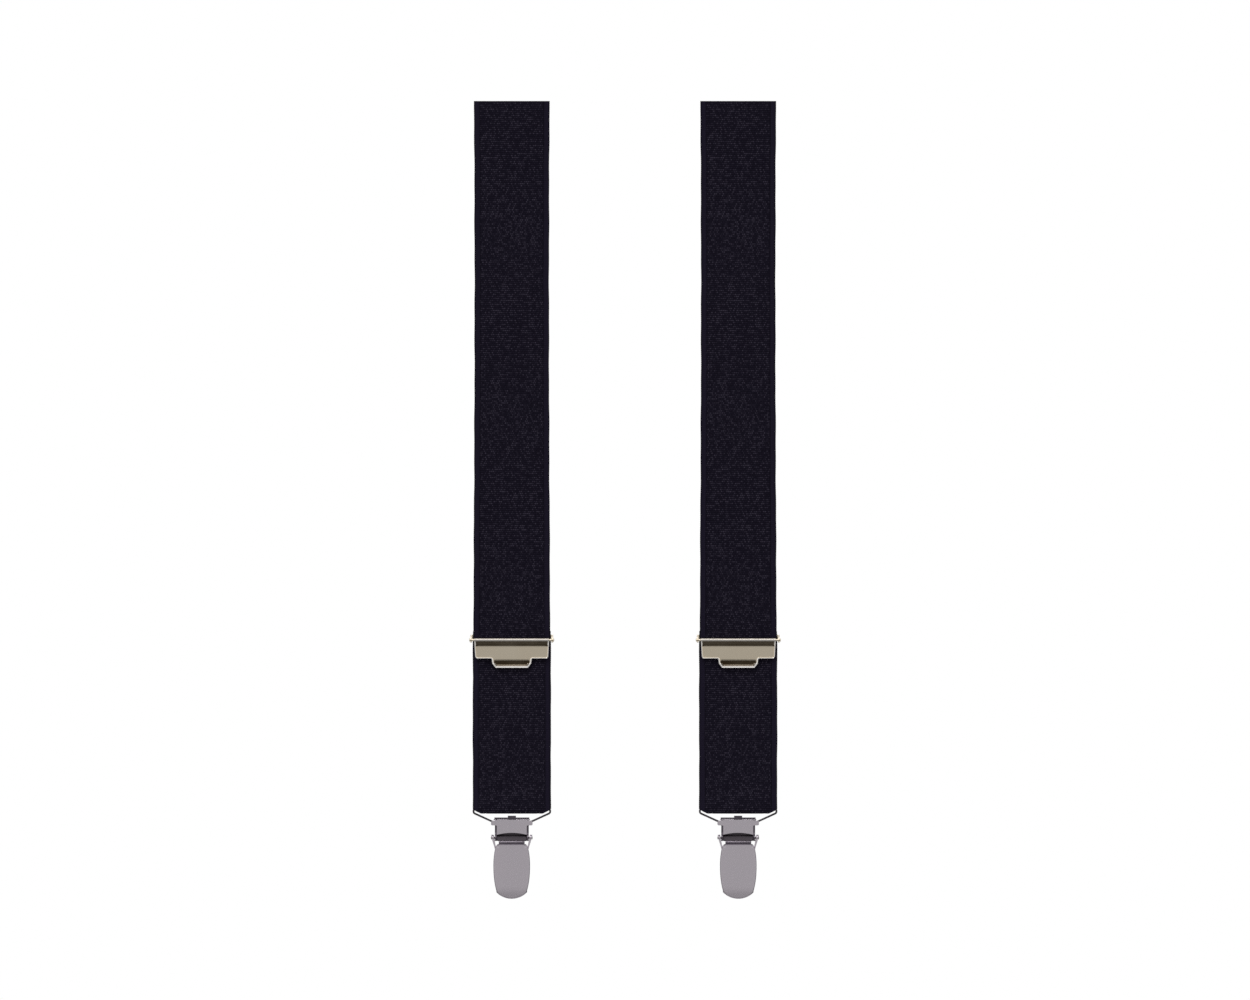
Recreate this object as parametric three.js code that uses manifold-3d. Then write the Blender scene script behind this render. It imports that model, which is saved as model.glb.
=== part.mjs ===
// A pair of clip-on suspender straps, hanging as they do from the shoulders.
// Each strap is elastic webbing that runs down through a slide adjuster, folds round a wire loop
// and comes back up to be sewn round the adjuster's bar. A lever clip hangs on the loop.
// Millimetres. +Z is up, the front faces -Y, and the origin is midway between the cut top ends.
import * as THREE from "three";
import { mergeVertices } from "three/addons/utils/BufferGeometryUtils.js";
import Module from "manifold-3d";

const wasm = await Module();
wasm.setup();

// ---------------------------------------------------------------- driving dimensions
const clearance = 0.3; // between pieces that rest on or pass through each other
const runningGap = 0.2; // radial, between a pin and its hole
const strapSpacing = 103.6; // centre to centre
const strapLength = 326.1; // cut top end to the bottom of the fold
const adjusterDrop = 246.5; // cut top end to the flap's pivot
const fullRise = 100; // how far the fold can rise when the adjuster is slid to the top
const riseSpare = 8; // lasting webbing kept below the highest place the fold reaches
const overlap = 0.1; // how far one part of a piece runs into the next where they are joined

const webbing = {
  width: 35, // stretched, above the adjuster
  slackSpread: 0.7, // how much wider it is where it is relaxed
  thickness: 1.2,
  foldPinch: 1.0, // each edge is drawn in by this much between the wire's legs
  foldCornerWidth: 2.4, // the fold's lower corners slope in above the wire
  foldCornerHeight: 1.3,
  seamHeight: 4.6, // pivot to the lower end of the sewn wrap's outer leg
  tailLength: 15, // pivot to the end of the tucked tail
};

const frame = {
  sheet: 0.8,
  barHeight: 2.6,
  barAbovePivot: 1.0, // middle of the bar, above the pivot
  earRadius: 1.15,
};

const flap = {
  sheet: 0.8,
  sideMargin: 0.35, // the webbing's edge to the flap's
  taper: 0.5, // each side leans in by this much at the bottom
  height: 8.5, // pivot to the lower edge
  curlRadius: 0.95,
  setBack: 0.25, // plate behind the curl's front
  cornerRadius: 1.3,
  tabTopWidth: 18.3,
  tabBottomWidth: 14.7,
  tabHeight: 4.2,
  tabCorner: 1.8, // height of the tab's sloping lower corners
  rim: 0.65, // width of the raised edge round the plate and the tab
  trayDepth: 0.25, // the plate lies this far behind its rim
  scoopDepth: 0.4, // the finger scoop in the tab, behind its rim
  scoopTop: 1.1, // lower edge of the plate to the scoop
  toothDepth: 0.5,
  toothPitch: 2,
  toothWidth: 1.1,
  toothRoot: 0.9, // height of a tooth where it stands on the curl
  toothTip: 0.1,
};

const pivotPin = { radius: 0.5, headRadius: 0.85, headLength: 0.35 };

const wire = {
  radius: 0.45,
  drop: 5.65, // bar in the fold to the bar in the clip's barrel
  elbowDrop: 1.65, // bar in the fold to the elbow at the webbing's edge
  bendReach: 0.75, // how far a bend starts from its corner
};

const clip = {
  sheet: 0.7,
  barrelLength: 16.6,
  barrelWall: 0.45,
  faceStep: 0.45, // the face stands this far in front of the barrel
  backStep: 0.05, // the back plate stands this far behind it
  faceTop: 1.0, // barrel axis to the top of the face
  faceTopWidth: 15.2,
  faceTopCorner: 0.8,
  armWidth: 19.0, // across the two arms in front of the wire
  armTop: 0.5, // barrel axis to an arm's upper edge
  armBottom: 1.6, // barrel axis to its lower edge
  armCorner: 0.4,
  neckWidth: 14.1,
  faceDrop: 5.95, // barrel axis to the face's lower edge
  faceArch: 0.95,
  backTop: 1.9, // barrel axis to the top of the back plate
  backWidth: 16.0,
  tabWidth: 3.7,
  tabHeight: 0.8,
  flangeTop: 1.9,
  waistWidth: 11.4,
  waistTop: 8.6,
  waistBottom: 14,
  waistSlope: 0.4,
  jawWidth: 14,
  jawTop: 18,
  jawBottom: 32.2,
  jawCorner: 1.2,
};

const lever = {
  sheet: 0.8,
  earSheet: 0.7,
  pivotDrop: 7.2, // barrel axis to the lever's pivot
  pivotForward: 3.05,
  top: 2.8, // pivot to the top edge of the plate
  topWidth: 14.6,
  topCorner: 0.9,
  widest: 13.3, // pivot to the widest place
  width: 16.7,
  shoulder: 25.1, // pivot to where the round tip starts
  shoulderWidth: 13.5,
  length: 27.8, // pivot to the tip
  crown: 0.9,
  faceForward: 2.2, // pivot to the middle of the face
  camRadius: 0.8,
  camWidth: 11.8,
  camRise: 0.6, // top edge of the plate to the cam's axis
  webHeight: 0.6, // sheet between the cam and the plate
  earRadius: 1.5,
  earFoot: 2.4, // top edge of the plate to the foot of an ear
  earDepth: 0.9, // front to back of an ear at its foot
  earLean: 0.22, // how much an ear leans in for each millimetre down
};

const rivet = { radius: 0.5, headRadius: 0.85, headLength: 0.32, headEdge: 0.1 };

const jaw = {
  sheet: 0.6,
  top: 3.5, // barrel axis to the top of the plate
  pinDrop: 4.4,
  pinRadius: 0.4,
  kneeTop: 5.9,
  kneeBottom: 8.4,
  kneeEase: 0.3,
  neckBottom: 8.0,
  waistTop: 8.8,
  lip: 0.6,
};

const pad = {
  frontThickness: 0.8,
  backThickness: 0.9,
  width: 12.6,
  height: 9.5,
  bottomGap: 0.9,
  ribs: 8,
  grooveDepth: 0.25,
  grooveWidth: 0.4, // share of a rib's pitch
};

// ---------------------------------------------------------------- places that follow from them
const half = webbing.thickness / 2;
const slackWidth = webbing.width + webbing.slackSpread;
const foldWidth = slackWidth - 2 * webbing.foldPinch;
const flapWidth = webbing.width - 2 * flap.sideMargin;
// Depths behind the middle of the front run, which is at y = 0.
const tailFront = half + clearance;
const barFront = tailFront + webbing.thickness + clearance;
const returnFront = barFront + frame.sheet + clearance;
const runSpacing = returnFront + half; // front run to return run, middle to middle
const wirePlane = runSpacing / 2;
const foldInner = runSpacing / 2 - half;
const foldOuter = runSpacing / 2 + half;
const foldCentre = -(strapLength - foldOuter);
const wireBar = foldCentre - (foldInner - clearance - wire.radius);
const clipAxis = wireBar - wire.drop;
const upperBottom = foldCentre + fullRise + riseSpare; // the front run starts below this

const pinHole = pivotPin.radius + runningGap;
const flapPivotForward = half + clearance / 2 + flap.toothDepth + flap.curlRadius;
const earInside = Math.max(slackWidth, flapWidth) / 2 + clearance;

const barrelHole = wire.radius + clearance;
const barrelRadius = barrelHole + clip.barrelWall;
const faceFront = -(barrelRadius + clip.faceStep);
const faceBack = faceFront + clip.sheet;
const backBack = barrelRadius + clip.backStep;
const backFront = backBack - clip.sheet;
const flangeInside = clip.neckWidth / 2;
const flangeOutside = flangeInside + clip.sheet;
const earInner = flangeOutside + clearance / 2 + lever.earLean * lever.earRadius;
const earOuter = earInner + lever.earSheet;
const backPadFront = backFront - clearance - pad.backThickness;
const frontPadFront = backPadFront - clearance - pad.frontThickness;
const jawBack = frontPadFront - clearance;
const jawFront = jawBack - jaw.sheet;
const jawPinForward = (faceBack + backFront) / 2;

// ---------------------------------------------------------------- materials
function material(color, roughness, metalness) {
  return new THREE.MeshStandardMaterial({ color, roughness, metalness });
}

const materials = {
  webbing: material(0x17141f, 0.85, 0),
  nickel: material(0xb5ac9c, 0.3, 1),
  steel: material(0x99939a, 0.25, 1),
  wire: material(0x4c474c, 0.35, 1),
  pad: material(0x26242a, 0.6, 0),
};

// ---------------------------------------------------------------- shape helpers
function outline(points) {
  return new THREE.Shape(points.map(([a, b]) => new THREE.Vector2(a, b)));
}

function rectangle(low, high) {
  return outline([
    [low[0], low[1]],
    [high[0], low[1]],
    [high[0], high[1]],
    [low[0], high[1]],
  ]);
}

function circleHole(x, y, radius) {
  const hole = new THREE.Path();
  hole.absarc(x, y, radius, 0, 2 * Math.PI, true);
  return hole;
}

// An (x, z) outline made into a plate between two depths.
function platedFront(shape, front, back, curveSegments = 12) {
  const geometry = new THREE.ExtrudeGeometry(shape, {
    depth: back - front,
    bevelEnabled: false,
    curveSegments,
  });
  return geometry.rotateX(Math.PI / 2).translate(0, back, 0);
}

// A (y, z) outline made into a bar between two places across the strap.
function platedSide(shape, left, right, curveSegments = 12) {
  const geometry = new THREE.ExtrudeGeometry(shape, {
    depth: right - left,
    bevelEnabled: false,
    curveSegments,
  });
  const turn = new THREE.Matrix4().makeBasis(
    new THREE.Vector3(0, 1, 0),
    new THREE.Vector3(0, 0, 1),
    new THREE.Vector3(1, 0, 0),
  );
  return geometry.applyMatrix4(turn).translate(left, 0, 0);
}

function block(low, high) {
  const size = high.map((value, i) => value - low[i]);
  const middle = high.map((value, i) => (value + low[i]) / 2);
  return new THREE.BoxGeometry(...size).translate(...middle);
}

// A turned piece along X from a list of [distance along X, radius].
function turned(profile, segments = 20) {
  const points = profile.map(([along, radius]) => new THREE.Vector2(radius, along));
  return new THREE.LatheGeometry(points, segments).rotateZ(-Math.PI / 2);
}

function toSolid(geometry) {
  const plain = geometry.index ? geometry.toNonIndexed() : geometry.clone();
  plain.deleteAttribute("normal");
  plain.deleteAttribute("uv");
  const merged = mergeVertices(plain, 1e-4);
  return new wasm.Manifold(
    new wasm.Mesh({
      numProp: 3,
      vertProperties: merged.attributes.position.array,
      triVerts: new Uint32Array(merged.index.array),
    }),
  );
}

function toGeometry(solid) {
  const mesh = solid.getMesh();
  const geometry = new THREE.BufferGeometry();
  geometry.setAttribute("position", new THREE.BufferAttribute(mesh.vertProperties, 3));
  geometry.setIndex(new THREE.BufferAttribute(mesh.triVerts, 1));
  const flat = geometry.toNonIndexed();
  flat.computeVertexNormals();
  return flat;
}

function joined(...geometries) {
  return toGeometry(geometries.map(toSolid).reduce((whole, next) => whole.add(next)));
}

function cut(geometry, ...tools) {
  return toGeometry(tools.map(toSolid).reduce((whole, next) => whole.subtract(next), toSolid(geometry)));
}

function common(a, b) {
  return toGeometry(toSolid(a).intersect(toSolid(b)));
}

function mirrored(geometry) {
  const copy = geometry.index ? geometry.toNonIndexed() : geometry.clone();
  const position = copy.getAttribute("position");
  const order = [0, 2, 1];
  const source = position.array.slice();
  for (let i = 0; i < position.count; i += 1) {
    const from = 3 * (i - (i % 3) + order[i % 3]);
    position.setXYZ(i, -source[from], source[from + 1], source[from + 2]);
  }
  return copy;
}

// ---------------------------------------------------------------- webbing
function webbingUpper() {
  return block([-webbing.width / 2, -half, upperBottom], [webbing.width / 2, half, 0]);
}

function webbingFrontRun() {
  const low = [-webbing.width / 2, -half, foldCentre + clearance];
  const high = [webbing.width / 2, half, upperBottom - clearance];
  return block(low, high);
}

function webbingReturnRun() {
  const top = -adjusterDrop - webbing.seamHeight - clearance;
  const low = [-slackWidth / 2, returnFront, foldCentre + clearance];
  return block(low, [slackWidth / 2, returnFront + webbing.thickness, top]);
}

function webbingFold() {
  const bend = new THREE.Shape();
  bend.absarc(0, 0, foldOuter, Math.PI, 2 * Math.PI, false);
  bend.lineTo(foldInner, 0);
  bend.absarc(0, 0, foldInner, 2 * Math.PI, Math.PI, true);
  bend.closePath();
  const wide = foldWidth / 2;
  const whole = platedSide(bend, -wide, wide, 24);
  const narrow = wide - webbing.foldCornerWidth;
  const past = 1; // beyond the bend on every side
  const slope = webbing.foldCornerHeight / webbing.foldCornerWidth;
  const turn = webbing.foldCornerHeight - foldOuter + slope * past;
  const front = outline([
    [-wide - past, past],
    [-wide - past, turn],
    [-narrow, -foldOuter],
    [-narrow, -foldOuter - past],
    [narrow, -foldOuter - past],
    [narrow, -foldOuter],
    [wide + past, turn],
    [wide + past, past],
  ]);
  return common(whole, platedFront(front, -foldOuter - past, foldOuter + past));
}

// The end of the webbing, taken over the adjuster's bar and sewn below it.
function webbingSewnEnd() {
  const middle = barFront + frame.sheet / 2;
  const barTop = frame.barAbovePivot + frame.barHeight / 2;
  const inner = frame.sheet / 2 + clearance;
  const outer = inner + webbing.thickness;
  const wrap = new THREE.Shape();
  wrap.moveTo(middle - outer, -webbing.tailLength);
  wrap.lineTo(middle - inner, -webbing.tailLength);
  wrap.lineTo(middle - inner, barTop);
  wrap.absarc(middle, barTop, inner, Math.PI, 0, true);
  wrap.lineTo(middle + inner, -webbing.seamHeight);
  wrap.lineTo(middle + outer, -webbing.seamHeight);
  wrap.lineTo(middle + outer, barTop);
  wrap.absarc(middle, barTop, outer, 0, Math.PI, false);
  wrap.closePath();
  return platedSide(wrap, -slackWidth / 2, slackWidth / 2);
}

// ---------------------------------------------------------------- adjuster, about the flap's pivot
function adjusterFrame() {
  const barMiddle = frame.barAbovePivot;
  const barTop = barMiddle + frame.barHeight / 2;
  const barBottom = barMiddle - frame.barHeight / 2;
  const barBack = barFront + frame.sheet;
  const reach = frame.earRadius;
  const ear = new THREE.Shape();
  ear.moveTo(barBack, barTop);
  ear.lineTo(-flapPivotForward, reach);
  ear.absarc(-flapPivotForward, 0, reach, Math.PI / 2, (3 * Math.PI) / 2, false);
  ear.lineTo(barBack, barBottom);
  ear.closePath();
  ear.holes.push(circleHole(-flapPivotForward, 0, pinHole));
  const right = platedSide(ear, earInside, earInside + frame.sheet, 10);
  const barEnd = earInside + overlap;
  const bar = block([-barEnd, barFront, barBottom], [barEnd, barBack, barTop]);
  return joined(right, mirrored(right), bar);
}

function adjusterPin() {
  const shank = earInside + frame.sheet + clearance / 2;
  const end = shank + pivotPin.headLength;
  const pin = turned([
    [-end, 0],
    [-end, pivotPin.headRadius],
    [-shank, pivotPin.headRadius],
    [-shank, pivotPin.radius],
    [shank, pivotPin.radius],
    [shank, pivotPin.headRadius],
    [end, pivotPin.headRadius],
    [end, 0],
  ]);
  return pin.translate(0, -flapPivotForward, 0);
}

// The flap's plate seen from the front: sides leaning in, round lower corners. The same outline
// drawn in by the rim is the floor of its tray.
function flapOutline(top, inset) {
  const upper = flapWidth / 2 - inset;
  const lower = upper - flap.taper;
  const low = -flap.height + inset;
  const round = flap.cornerRadius - inset;
  const shape = new THREE.Shape();
  shape.moveTo(-upper, top);
  shape.lineTo(-lower, low + round);
  shape.quadraticCurveTo(-lower, low, -lower + round, low);
  shape.lineTo(lower - round, low);
  shape.quadraticCurveTo(lower, low, lower, low + round);
  shape.lineTo(upper, top);
  shape.closePath();
  return shape;
}

function flapTab(plateFront) {
  const top = flap.tabTopWidth / 2;
  const bottom = flap.tabBottomWidth / 2;
  const low = -flap.height - flap.tabHeight;
  const tab = outline([
    [-top, -flap.height + flap.sheet],
    [-top, low + flap.tabCorner],
    [-bottom, low],
    [bottom, low],
    [top, low + flap.tabCorner],
    [top, -flap.height + flap.sheet],
  ]);
  const scoopTop = -flap.height - flap.scoopTop;
  const scoopLow = low + flap.rim;
  const scoop = outline([
    [-bottom + flap.rim / 2, scoopLow],
    [bottom - flap.rim / 2, scoopLow],
    [top - flap.rim, scoopTop],
    [-top + flap.rim, scoopTop],
  ]);
  const plate = platedFront(tab, plateFront, plateFront + flap.sheet);
  return cut(plate, platedFront(scoop, plateFront - overlap, plateFront + flap.scoopDepth));
}

function flapTeeth(y) {
  const root = y + flap.curlRadius;
  const tooth = outline([
    [root - 1.5 * overlap, -flap.toothRoot / 2],
    [root + flap.toothDepth, -flap.toothTip / 2],
    [root + flap.toothDepth, flap.toothTip / 2],
    [root - 1.5 * overlap, flap.toothRoot / 2],
  ]);
  const count = Math.floor((flapWidth - flap.toothPitch) / flap.toothPitch) - 1;
  const teeth = [];
  for (let i = 0; i < count; i += 1) {
    const x = (i - (count - 1) / 2) * flap.toothPitch;
    teeth.push(platedSide(tooth, x - flap.toothWidth / 2, x + flap.toothWidth / 2));
  }
  return teeth;
}

function adjusterFlap() {
  const y = -flapPivotForward;
  const plateFront = y - flap.curlRadius + flap.setBack;
  const plateBack = plateFront + flap.sheet;
  const curlStart = -0.95; // angles round the pivot, in radians, where the plate joins the curl
  const curlEnd = Math.PI + 0.75;
  const side = new THREE.Shape();
  side.moveTo(plateFront, -flap.height);
  side.lineTo(plateBack, -flap.height);
  side.lineTo(plateBack, flap.curlRadius * Math.sin(curlStart));
  side.absarc(y, 0, flap.curlRadius, curlStart, curlEnd, false);
  side.closePath();
  side.holes.push(circleHole(y, 0, pinHole));
  const reach = 2 * flap.curlRadius;
  const sheet = common(
    platedSide(side, -earInside, earInside, 14),
    platedFront(flapOutline(reach, 0), y - reach, y + reach),
  );
  const floor = flapOutline(-flap.curlRadius - flap.rim, flap.rim);
  const tray = platedFront(floor, plateFront - overlap, plateFront + flap.trayDepth);
  return joined(cut(sheet, tray), flapTab(plateFront), ...flapTeeth(y));
}

// ---------------------------------------------------------------- wire loop, about its bar in the fold
// Straight lengths of wire with a round bend at each corner.
function bentWire(corners, reach) {
  const path = new THREE.CurvePath();
  const at = corners.map(([x, z]) => new THREE.Vector3(x, 0, z));
  let from = at[0];
  for (let i = 1; i < at.length - 1; i += 1) {
    const before = at[i].clone().sub(at[i - 1]).setLength(reach);
    const after = at[i + 1].clone().sub(at[i]).setLength(reach);
    const start = at[i].clone().sub(before);
    const end = at[i].clone().add(after);
    path.add(new THREE.LineCurve3(from, start));
    path.add(new THREE.QuadraticBezierCurve3(start, at[i], end));
    from = end;
  }
  path.add(new THREE.LineCurve3(from, at[at.length - 1]));
  return path;
}

function wireLoop() {
  const gap = clearance / 2;
  const edge = foldWidth / 2 + clearance + wire.radius;
  const mouth = clip.barrelLength / 2 + wire.radius;
  const path = bentWire(
    [
      [gap, -wire.drop],
      [mouth, -wire.drop],
      [edge, -wire.elbowDrop],
      [edge, 0],
      [-edge, 0],
      [-edge, -wire.elbowDrop],
      [-mouth, -wire.drop],
      [-gap, -wire.drop],
    ],
    wire.bendReach,
  );
  const section = new THREE.Shape();
  section.absarc(0, 0, wire.radius, 0, 2 * Math.PI, false);
  return new THREE.ExtrudeGeometry(section, {
    steps: 84,
    curveSegments: 4,
    extrudePath: path,
    bevelEnabled: false,
  });
}

// ---------------------------------------------------------------- clip, about its barrel's axis
function clipBarrel() {
  const ring = new THREE.Shape();
  ring.absarc(0, 0, barrelRadius, 0, 2 * Math.PI, false);
  ring.holes.push(circleHole(0, 0, barrelHole));
  return platedSide(ring, -clip.barrelLength / 2, clip.barrelLength / 2, 12);
}

// The face: a short top, two arms in front of the wire, and a neck with an arched lower edge.
function clipFace() {
  const top = clip.faceTopWidth / 2;
  const arm = clip.armWidth / 2;
  const neck = clip.neckWidth / 2;
  const right = [
    [neck, -clip.armBottom],
    [arm - clip.armCorner, -clip.armBottom],
    [arm, -clip.armBottom + clip.armCorner],
    [arm, clip.armTop - clip.armCorner],
    [arm - clip.armCorner, clip.armTop],
    [top, clip.armTop],
    [top - clip.faceTopCorner, clip.faceTop],
  ];
  const shape = new THREE.Shape();
  shape.moveTo(-neck, -clip.faceDrop);
  shape.quadraticCurveTo(0, -clip.faceDrop + 2 * clip.faceArch, neck, -clip.faceDrop);
  right.forEach(([x, z]) => shape.lineTo(x, z));
  right.reverse().forEach(([x, z]) => shape.lineTo(-x, z));
  shape.closePath();
  return platedFront(shape, faceFront, faceBack);
}

function clipBack() {
  const top = clip.backWidth / 2;
  const waist = clip.waistWidth / 2;
  const wide = clip.jawWidth / 2;
  const tab = clip.tabWidth / 2;
  const right = [
    [tab, clip.backTop + clip.tabHeight],
    [tab, clip.backTop],
    [top, clip.backTop],
    [top, -clip.armBottom],
    [flangeOutside, -clip.flangeTop],
    [flangeOutside, -clip.waistTop],
    [waist, -clip.waistTop - clip.waistSlope],
    [waist, -clip.waistBottom],
    [wide, -clip.jawTop],
    [wide, -clip.jawBottom + clip.jawCorner],
    [wide - clip.jawCorner, -clip.jawBottom],
  ];
  const left = right.map(([x, z]) => [-x, z]).reverse();
  return platedFront(outline([...right, ...left]), backFront, backBack);
}

function clipFlange() {
  const y = -lever.pivotForward;
  const z = -lever.pivotDrop;
  const round = lever.earRadius;
  const shape = new THREE.Shape();
  shape.moveTo(backBack, -clip.flangeTop);
  shape.lineTo(faceFront, -clip.flangeTop);
  shape.lineTo(faceFront, z + 1.5 * round);
  shape.absarc(y, z, round, 0.35 * Math.PI, 1.5 * Math.PI, false);
  shape.lineTo(backBack, -clip.waistTop);
  shape.closePath();
  shape.holes.push(circleHole(y, z, rivet.radius + runningGap));
  shape.holes.push(circleHole(jawPinForward, -jaw.pinDrop, jaw.pinRadius + runningGap));
  return platedSide(shape, flangeInside, flangeOutside, 10);
}

// The lower end of the back plate, turned in to meet the jaw's.
function clipLip() {
  const wide = clip.jawWidth / 2 - clip.jawCorner;
  const low = -clip.jawBottom;
  return block([-wide, backPadFront, low], [wide, backFront + overlap, low + jaw.lip]);
}

function clipBody() {
  const flange = clipFlange();
  return joined(clipBarrel(), clipFace(), clipBack(), flange, mirrored(flange), clipLip(), clipBridge());
}

// Joins the barrel to the back plate behind the wire.
function clipBridge() {
  const wide = clip.faceTopWidth / 2;
  const front = (barrelHole + barrelRadius) / 2;
  return block([-wide, front, -barrelHole], [wide, backBack - overlap, barrelHole]);
}

function clipJaw() {
  const top = jawPinForward - jaw.sheet / 2;
  const low = -clip.jawBottom;
  const side = outline([
    [top, -jaw.top],
    [top, -jaw.kneeTop],
    [jawFront, -jaw.kneeBottom],
    [jawFront, low],
    [backPadFront - clearance, low],
    [backPadFront - clearance, low + jaw.lip],
    [jawBack, low + jaw.lip],
    [jawBack, -jaw.kneeBottom - jaw.kneeEase],
    [top + jaw.sheet, -jaw.kneeTop - jaw.kneeEase],
    [top + jaw.sheet, -jaw.top],
  ]);
  const neck = flangeInside - clearance;
  const waist = clip.waistWidth / 2;
  const wide = clip.jawWidth / 2;
  const past = 1; // beyond the profile on every side
  const right = [
    [neck, -jaw.top + past],
    [neck, -jaw.neckBottom],
    [waist, -jaw.waistTop],
    [waist, -clip.waistBottom],
    [wide, -clip.jawTop],
    [wide, low - past],
  ];
  const left = right.map(([x, z]) => [-x, z]).reverse();
  const front = platedFront(outline([...right, ...left]), jawFront - past, backBack);
  const sheet = common(platedSide(side, -wide - past, wide + past), front);
  const tip = flangeOutside - clearance / 2;
  const tabs = turned(
    [
      [-tip, 0],
      [-tip, jaw.pinRadius],
      [tip, jaw.pinRadius],
      [tip, 0],
    ],
    14,
  ).translate(0, jawPinForward, -jaw.pinDrop);
  return joined(sheet, tabs);
}

// A ribbed grip pad.
function gripPad(front, back, ribsForward) {
  const low = -clip.jawBottom + jaw.lip + pad.bottomGap;
  const pitch = pad.height / pad.ribs;
  const toward = ribsForward ? -1 : 1;
  const grip = ribsForward ? front : back;
  const plain = ribsForward ? back : front;
  const points = [
    [plain, low],
    [grip, low],
  ];
  for (let i = 1; i <= pad.ribs; i += 1) {
    points.push([grip, low + (i - pad.grooveWidth) * pitch]);
    points.push([grip - toward * pad.grooveDepth, low + (i - pad.grooveWidth / 2) * pitch]);
    points.push([grip, low + i * pitch]);
  }
  points.push([plain, low + pad.height]);
  const shape = outline(ribsForward ? points.reverse() : points);
  return platedSide(shape, -pad.width / 2, pad.width / 2);
}

function frontPad() {
  return gripPad(frontPadFront, frontPadFront + pad.frontThickness, false);
}

function backPad() {
  return gripPad(backPadFront, backPadFront + pad.backThickness, true);
}

// ---------------------------------------------------------------- lever, about its pivot
function leverOutline() {
  const top = lever.topWidth / 2;
  const wide = lever.width / 2;
  const tip = lever.shoulderWidth / 2;
  const corner = [top - lever.topCorner, -lever.top];
  const side = new THREE.SplineCurve([
    new THREE.Vector2(top, -lever.top - lever.topCorner),
    new THREE.Vector2(wide - 0.25, -(lever.top + lever.widest) / 2),
    new THREE.Vector2(wide, -lever.widest),
    new THREE.Vector2(wide - 0.45, -(lever.widest + lever.shoulder) / 2),
    new THREE.Vector2(tip, -lever.shoulder),
  ]);
  const right = [corner, ...side.getPoints(18).map((p) => [p.x, p.y])];
  const sag = lever.length - lever.shoulder;
  const radius = (tip * tip + sag * sag) / (2 * sag);
  const spread = Math.asin(tip / radius);
  const steps = 12;
  for (let i = 1; i < steps; i += 1) {
    const angle = spread * (1 - i / steps);
    right.push([radius * Math.sin(angle), radius - lever.length - radius * Math.cos(angle)]);
  }
  const left = right.map(([x, z]) => [-x, z]).reverse();
  return outline([...right, [0, -lever.length], ...left]);
}

// The lever's cross-section: a sheet arched towards the front.
function leverPlate() {
  const past = 1; // beyond the outline on every side
  const wide = lever.width / 2 + past / 2;
  const radius = (wide * wide + lever.crown * lever.crown) / (2 * lever.crown);
  const spread = Math.asin(wide / radius);
  const front = -lever.faceForward;
  const arch = new THREE.Shape();
  const centre = front + radius;
  arch.absarc(0, centre, radius, -Math.PI / 2 - spread, -Math.PI / 2 + spread, false);
  arch.absarc(0, centre, radius - lever.sheet, -Math.PI / 2 + spread, -Math.PI / 2 - spread, true);
  arch.closePath();
  const long = new THREE.ExtrudeGeometry(arch, {
    depth: lever.length + 2 * past,
    bevelEnabled: false,
    curveSegments: 12,
  }).translate(0, 0, -lever.length - past);
  const back = front + lever.crown + 2 * lever.sheet;
  return common(long, platedFront(leverOutline(), front - past, back + past));
}

function leverEar() {
  const shape = new THREE.Shape();
  const round = lever.earRadius;
  const foot = -lever.top - lever.earFoot;
  const front = -lever.faceForward + lever.crown;
  shape.moveTo(front + lever.earDepth, foot);
  shape.lineTo(round, 0);
  shape.absarc(0, 0, round, 0, Math.PI, false);
  shape.lineTo(front, foot);
  shape.closePath();
  shape.holes.push(circleHole(0, 0, rivet.radius + runningGap));
  const lean = new THREE.Matrix4().makeShear(0, 0, 0, 0, lever.earLean, 0);
  return platedSide(shape, earInner, earOuter, 10).applyMatrix4(lean);
}

// The rolled upper edge, which bears on the jaw, and the sheet that joins it to the plate.
function leverCam() {
  const middle = jawFront - clearance - lever.camRadius + lever.pivotForward;
  const z = -lever.top + lever.camRise;
  const low = z - lever.camRadius - lever.webHeight;
  const front = Math.min(middle - lever.camRadius, -lever.faceForward + 0.75 * lever.sheet);
  const shape = new THREE.Shape();
  shape.absarc(middle, z, lever.camRadius, -Math.PI / 2, Math.PI, false);
  shape.lineTo(front, z);
  shape.lineTo(front, low);
  shape.lineTo(middle, low);
  shape.closePath();
  return platedSide(shape, -lever.camWidth / 2, lever.camWidth / 2, 12);
}

function clipLever() {
  const ear = leverEar();
  return joined(leverPlate(), ear, mirrored(ear), leverCam());
}

function clipRivet() {
  const start = flangeInside + overlap;
  const shank = earOuter + lever.earLean * rivet.headRadius + overlap;
  const end = shank + rivet.headLength;
  return turned(
    [
      [start, 0],
      [start, rivet.radius],
      [shank, rivet.radius],
      [shank, rivet.headRadius],
      [end, rivet.headRadius - rivet.headEdge],
      [end, 0],
    ],
    16,
  );
}

// ---------------------------------------------------------------- assembly
function mesh(name, geometry, look) {
  const made = new THREE.Mesh(geometry, look);
  made.name = name;
  return made;
}

function placed(y, z, ...children) {
  const group = new THREE.Group();
  group.position.set(0, y, z);
  group.add(...children);
  return group;
}

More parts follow.
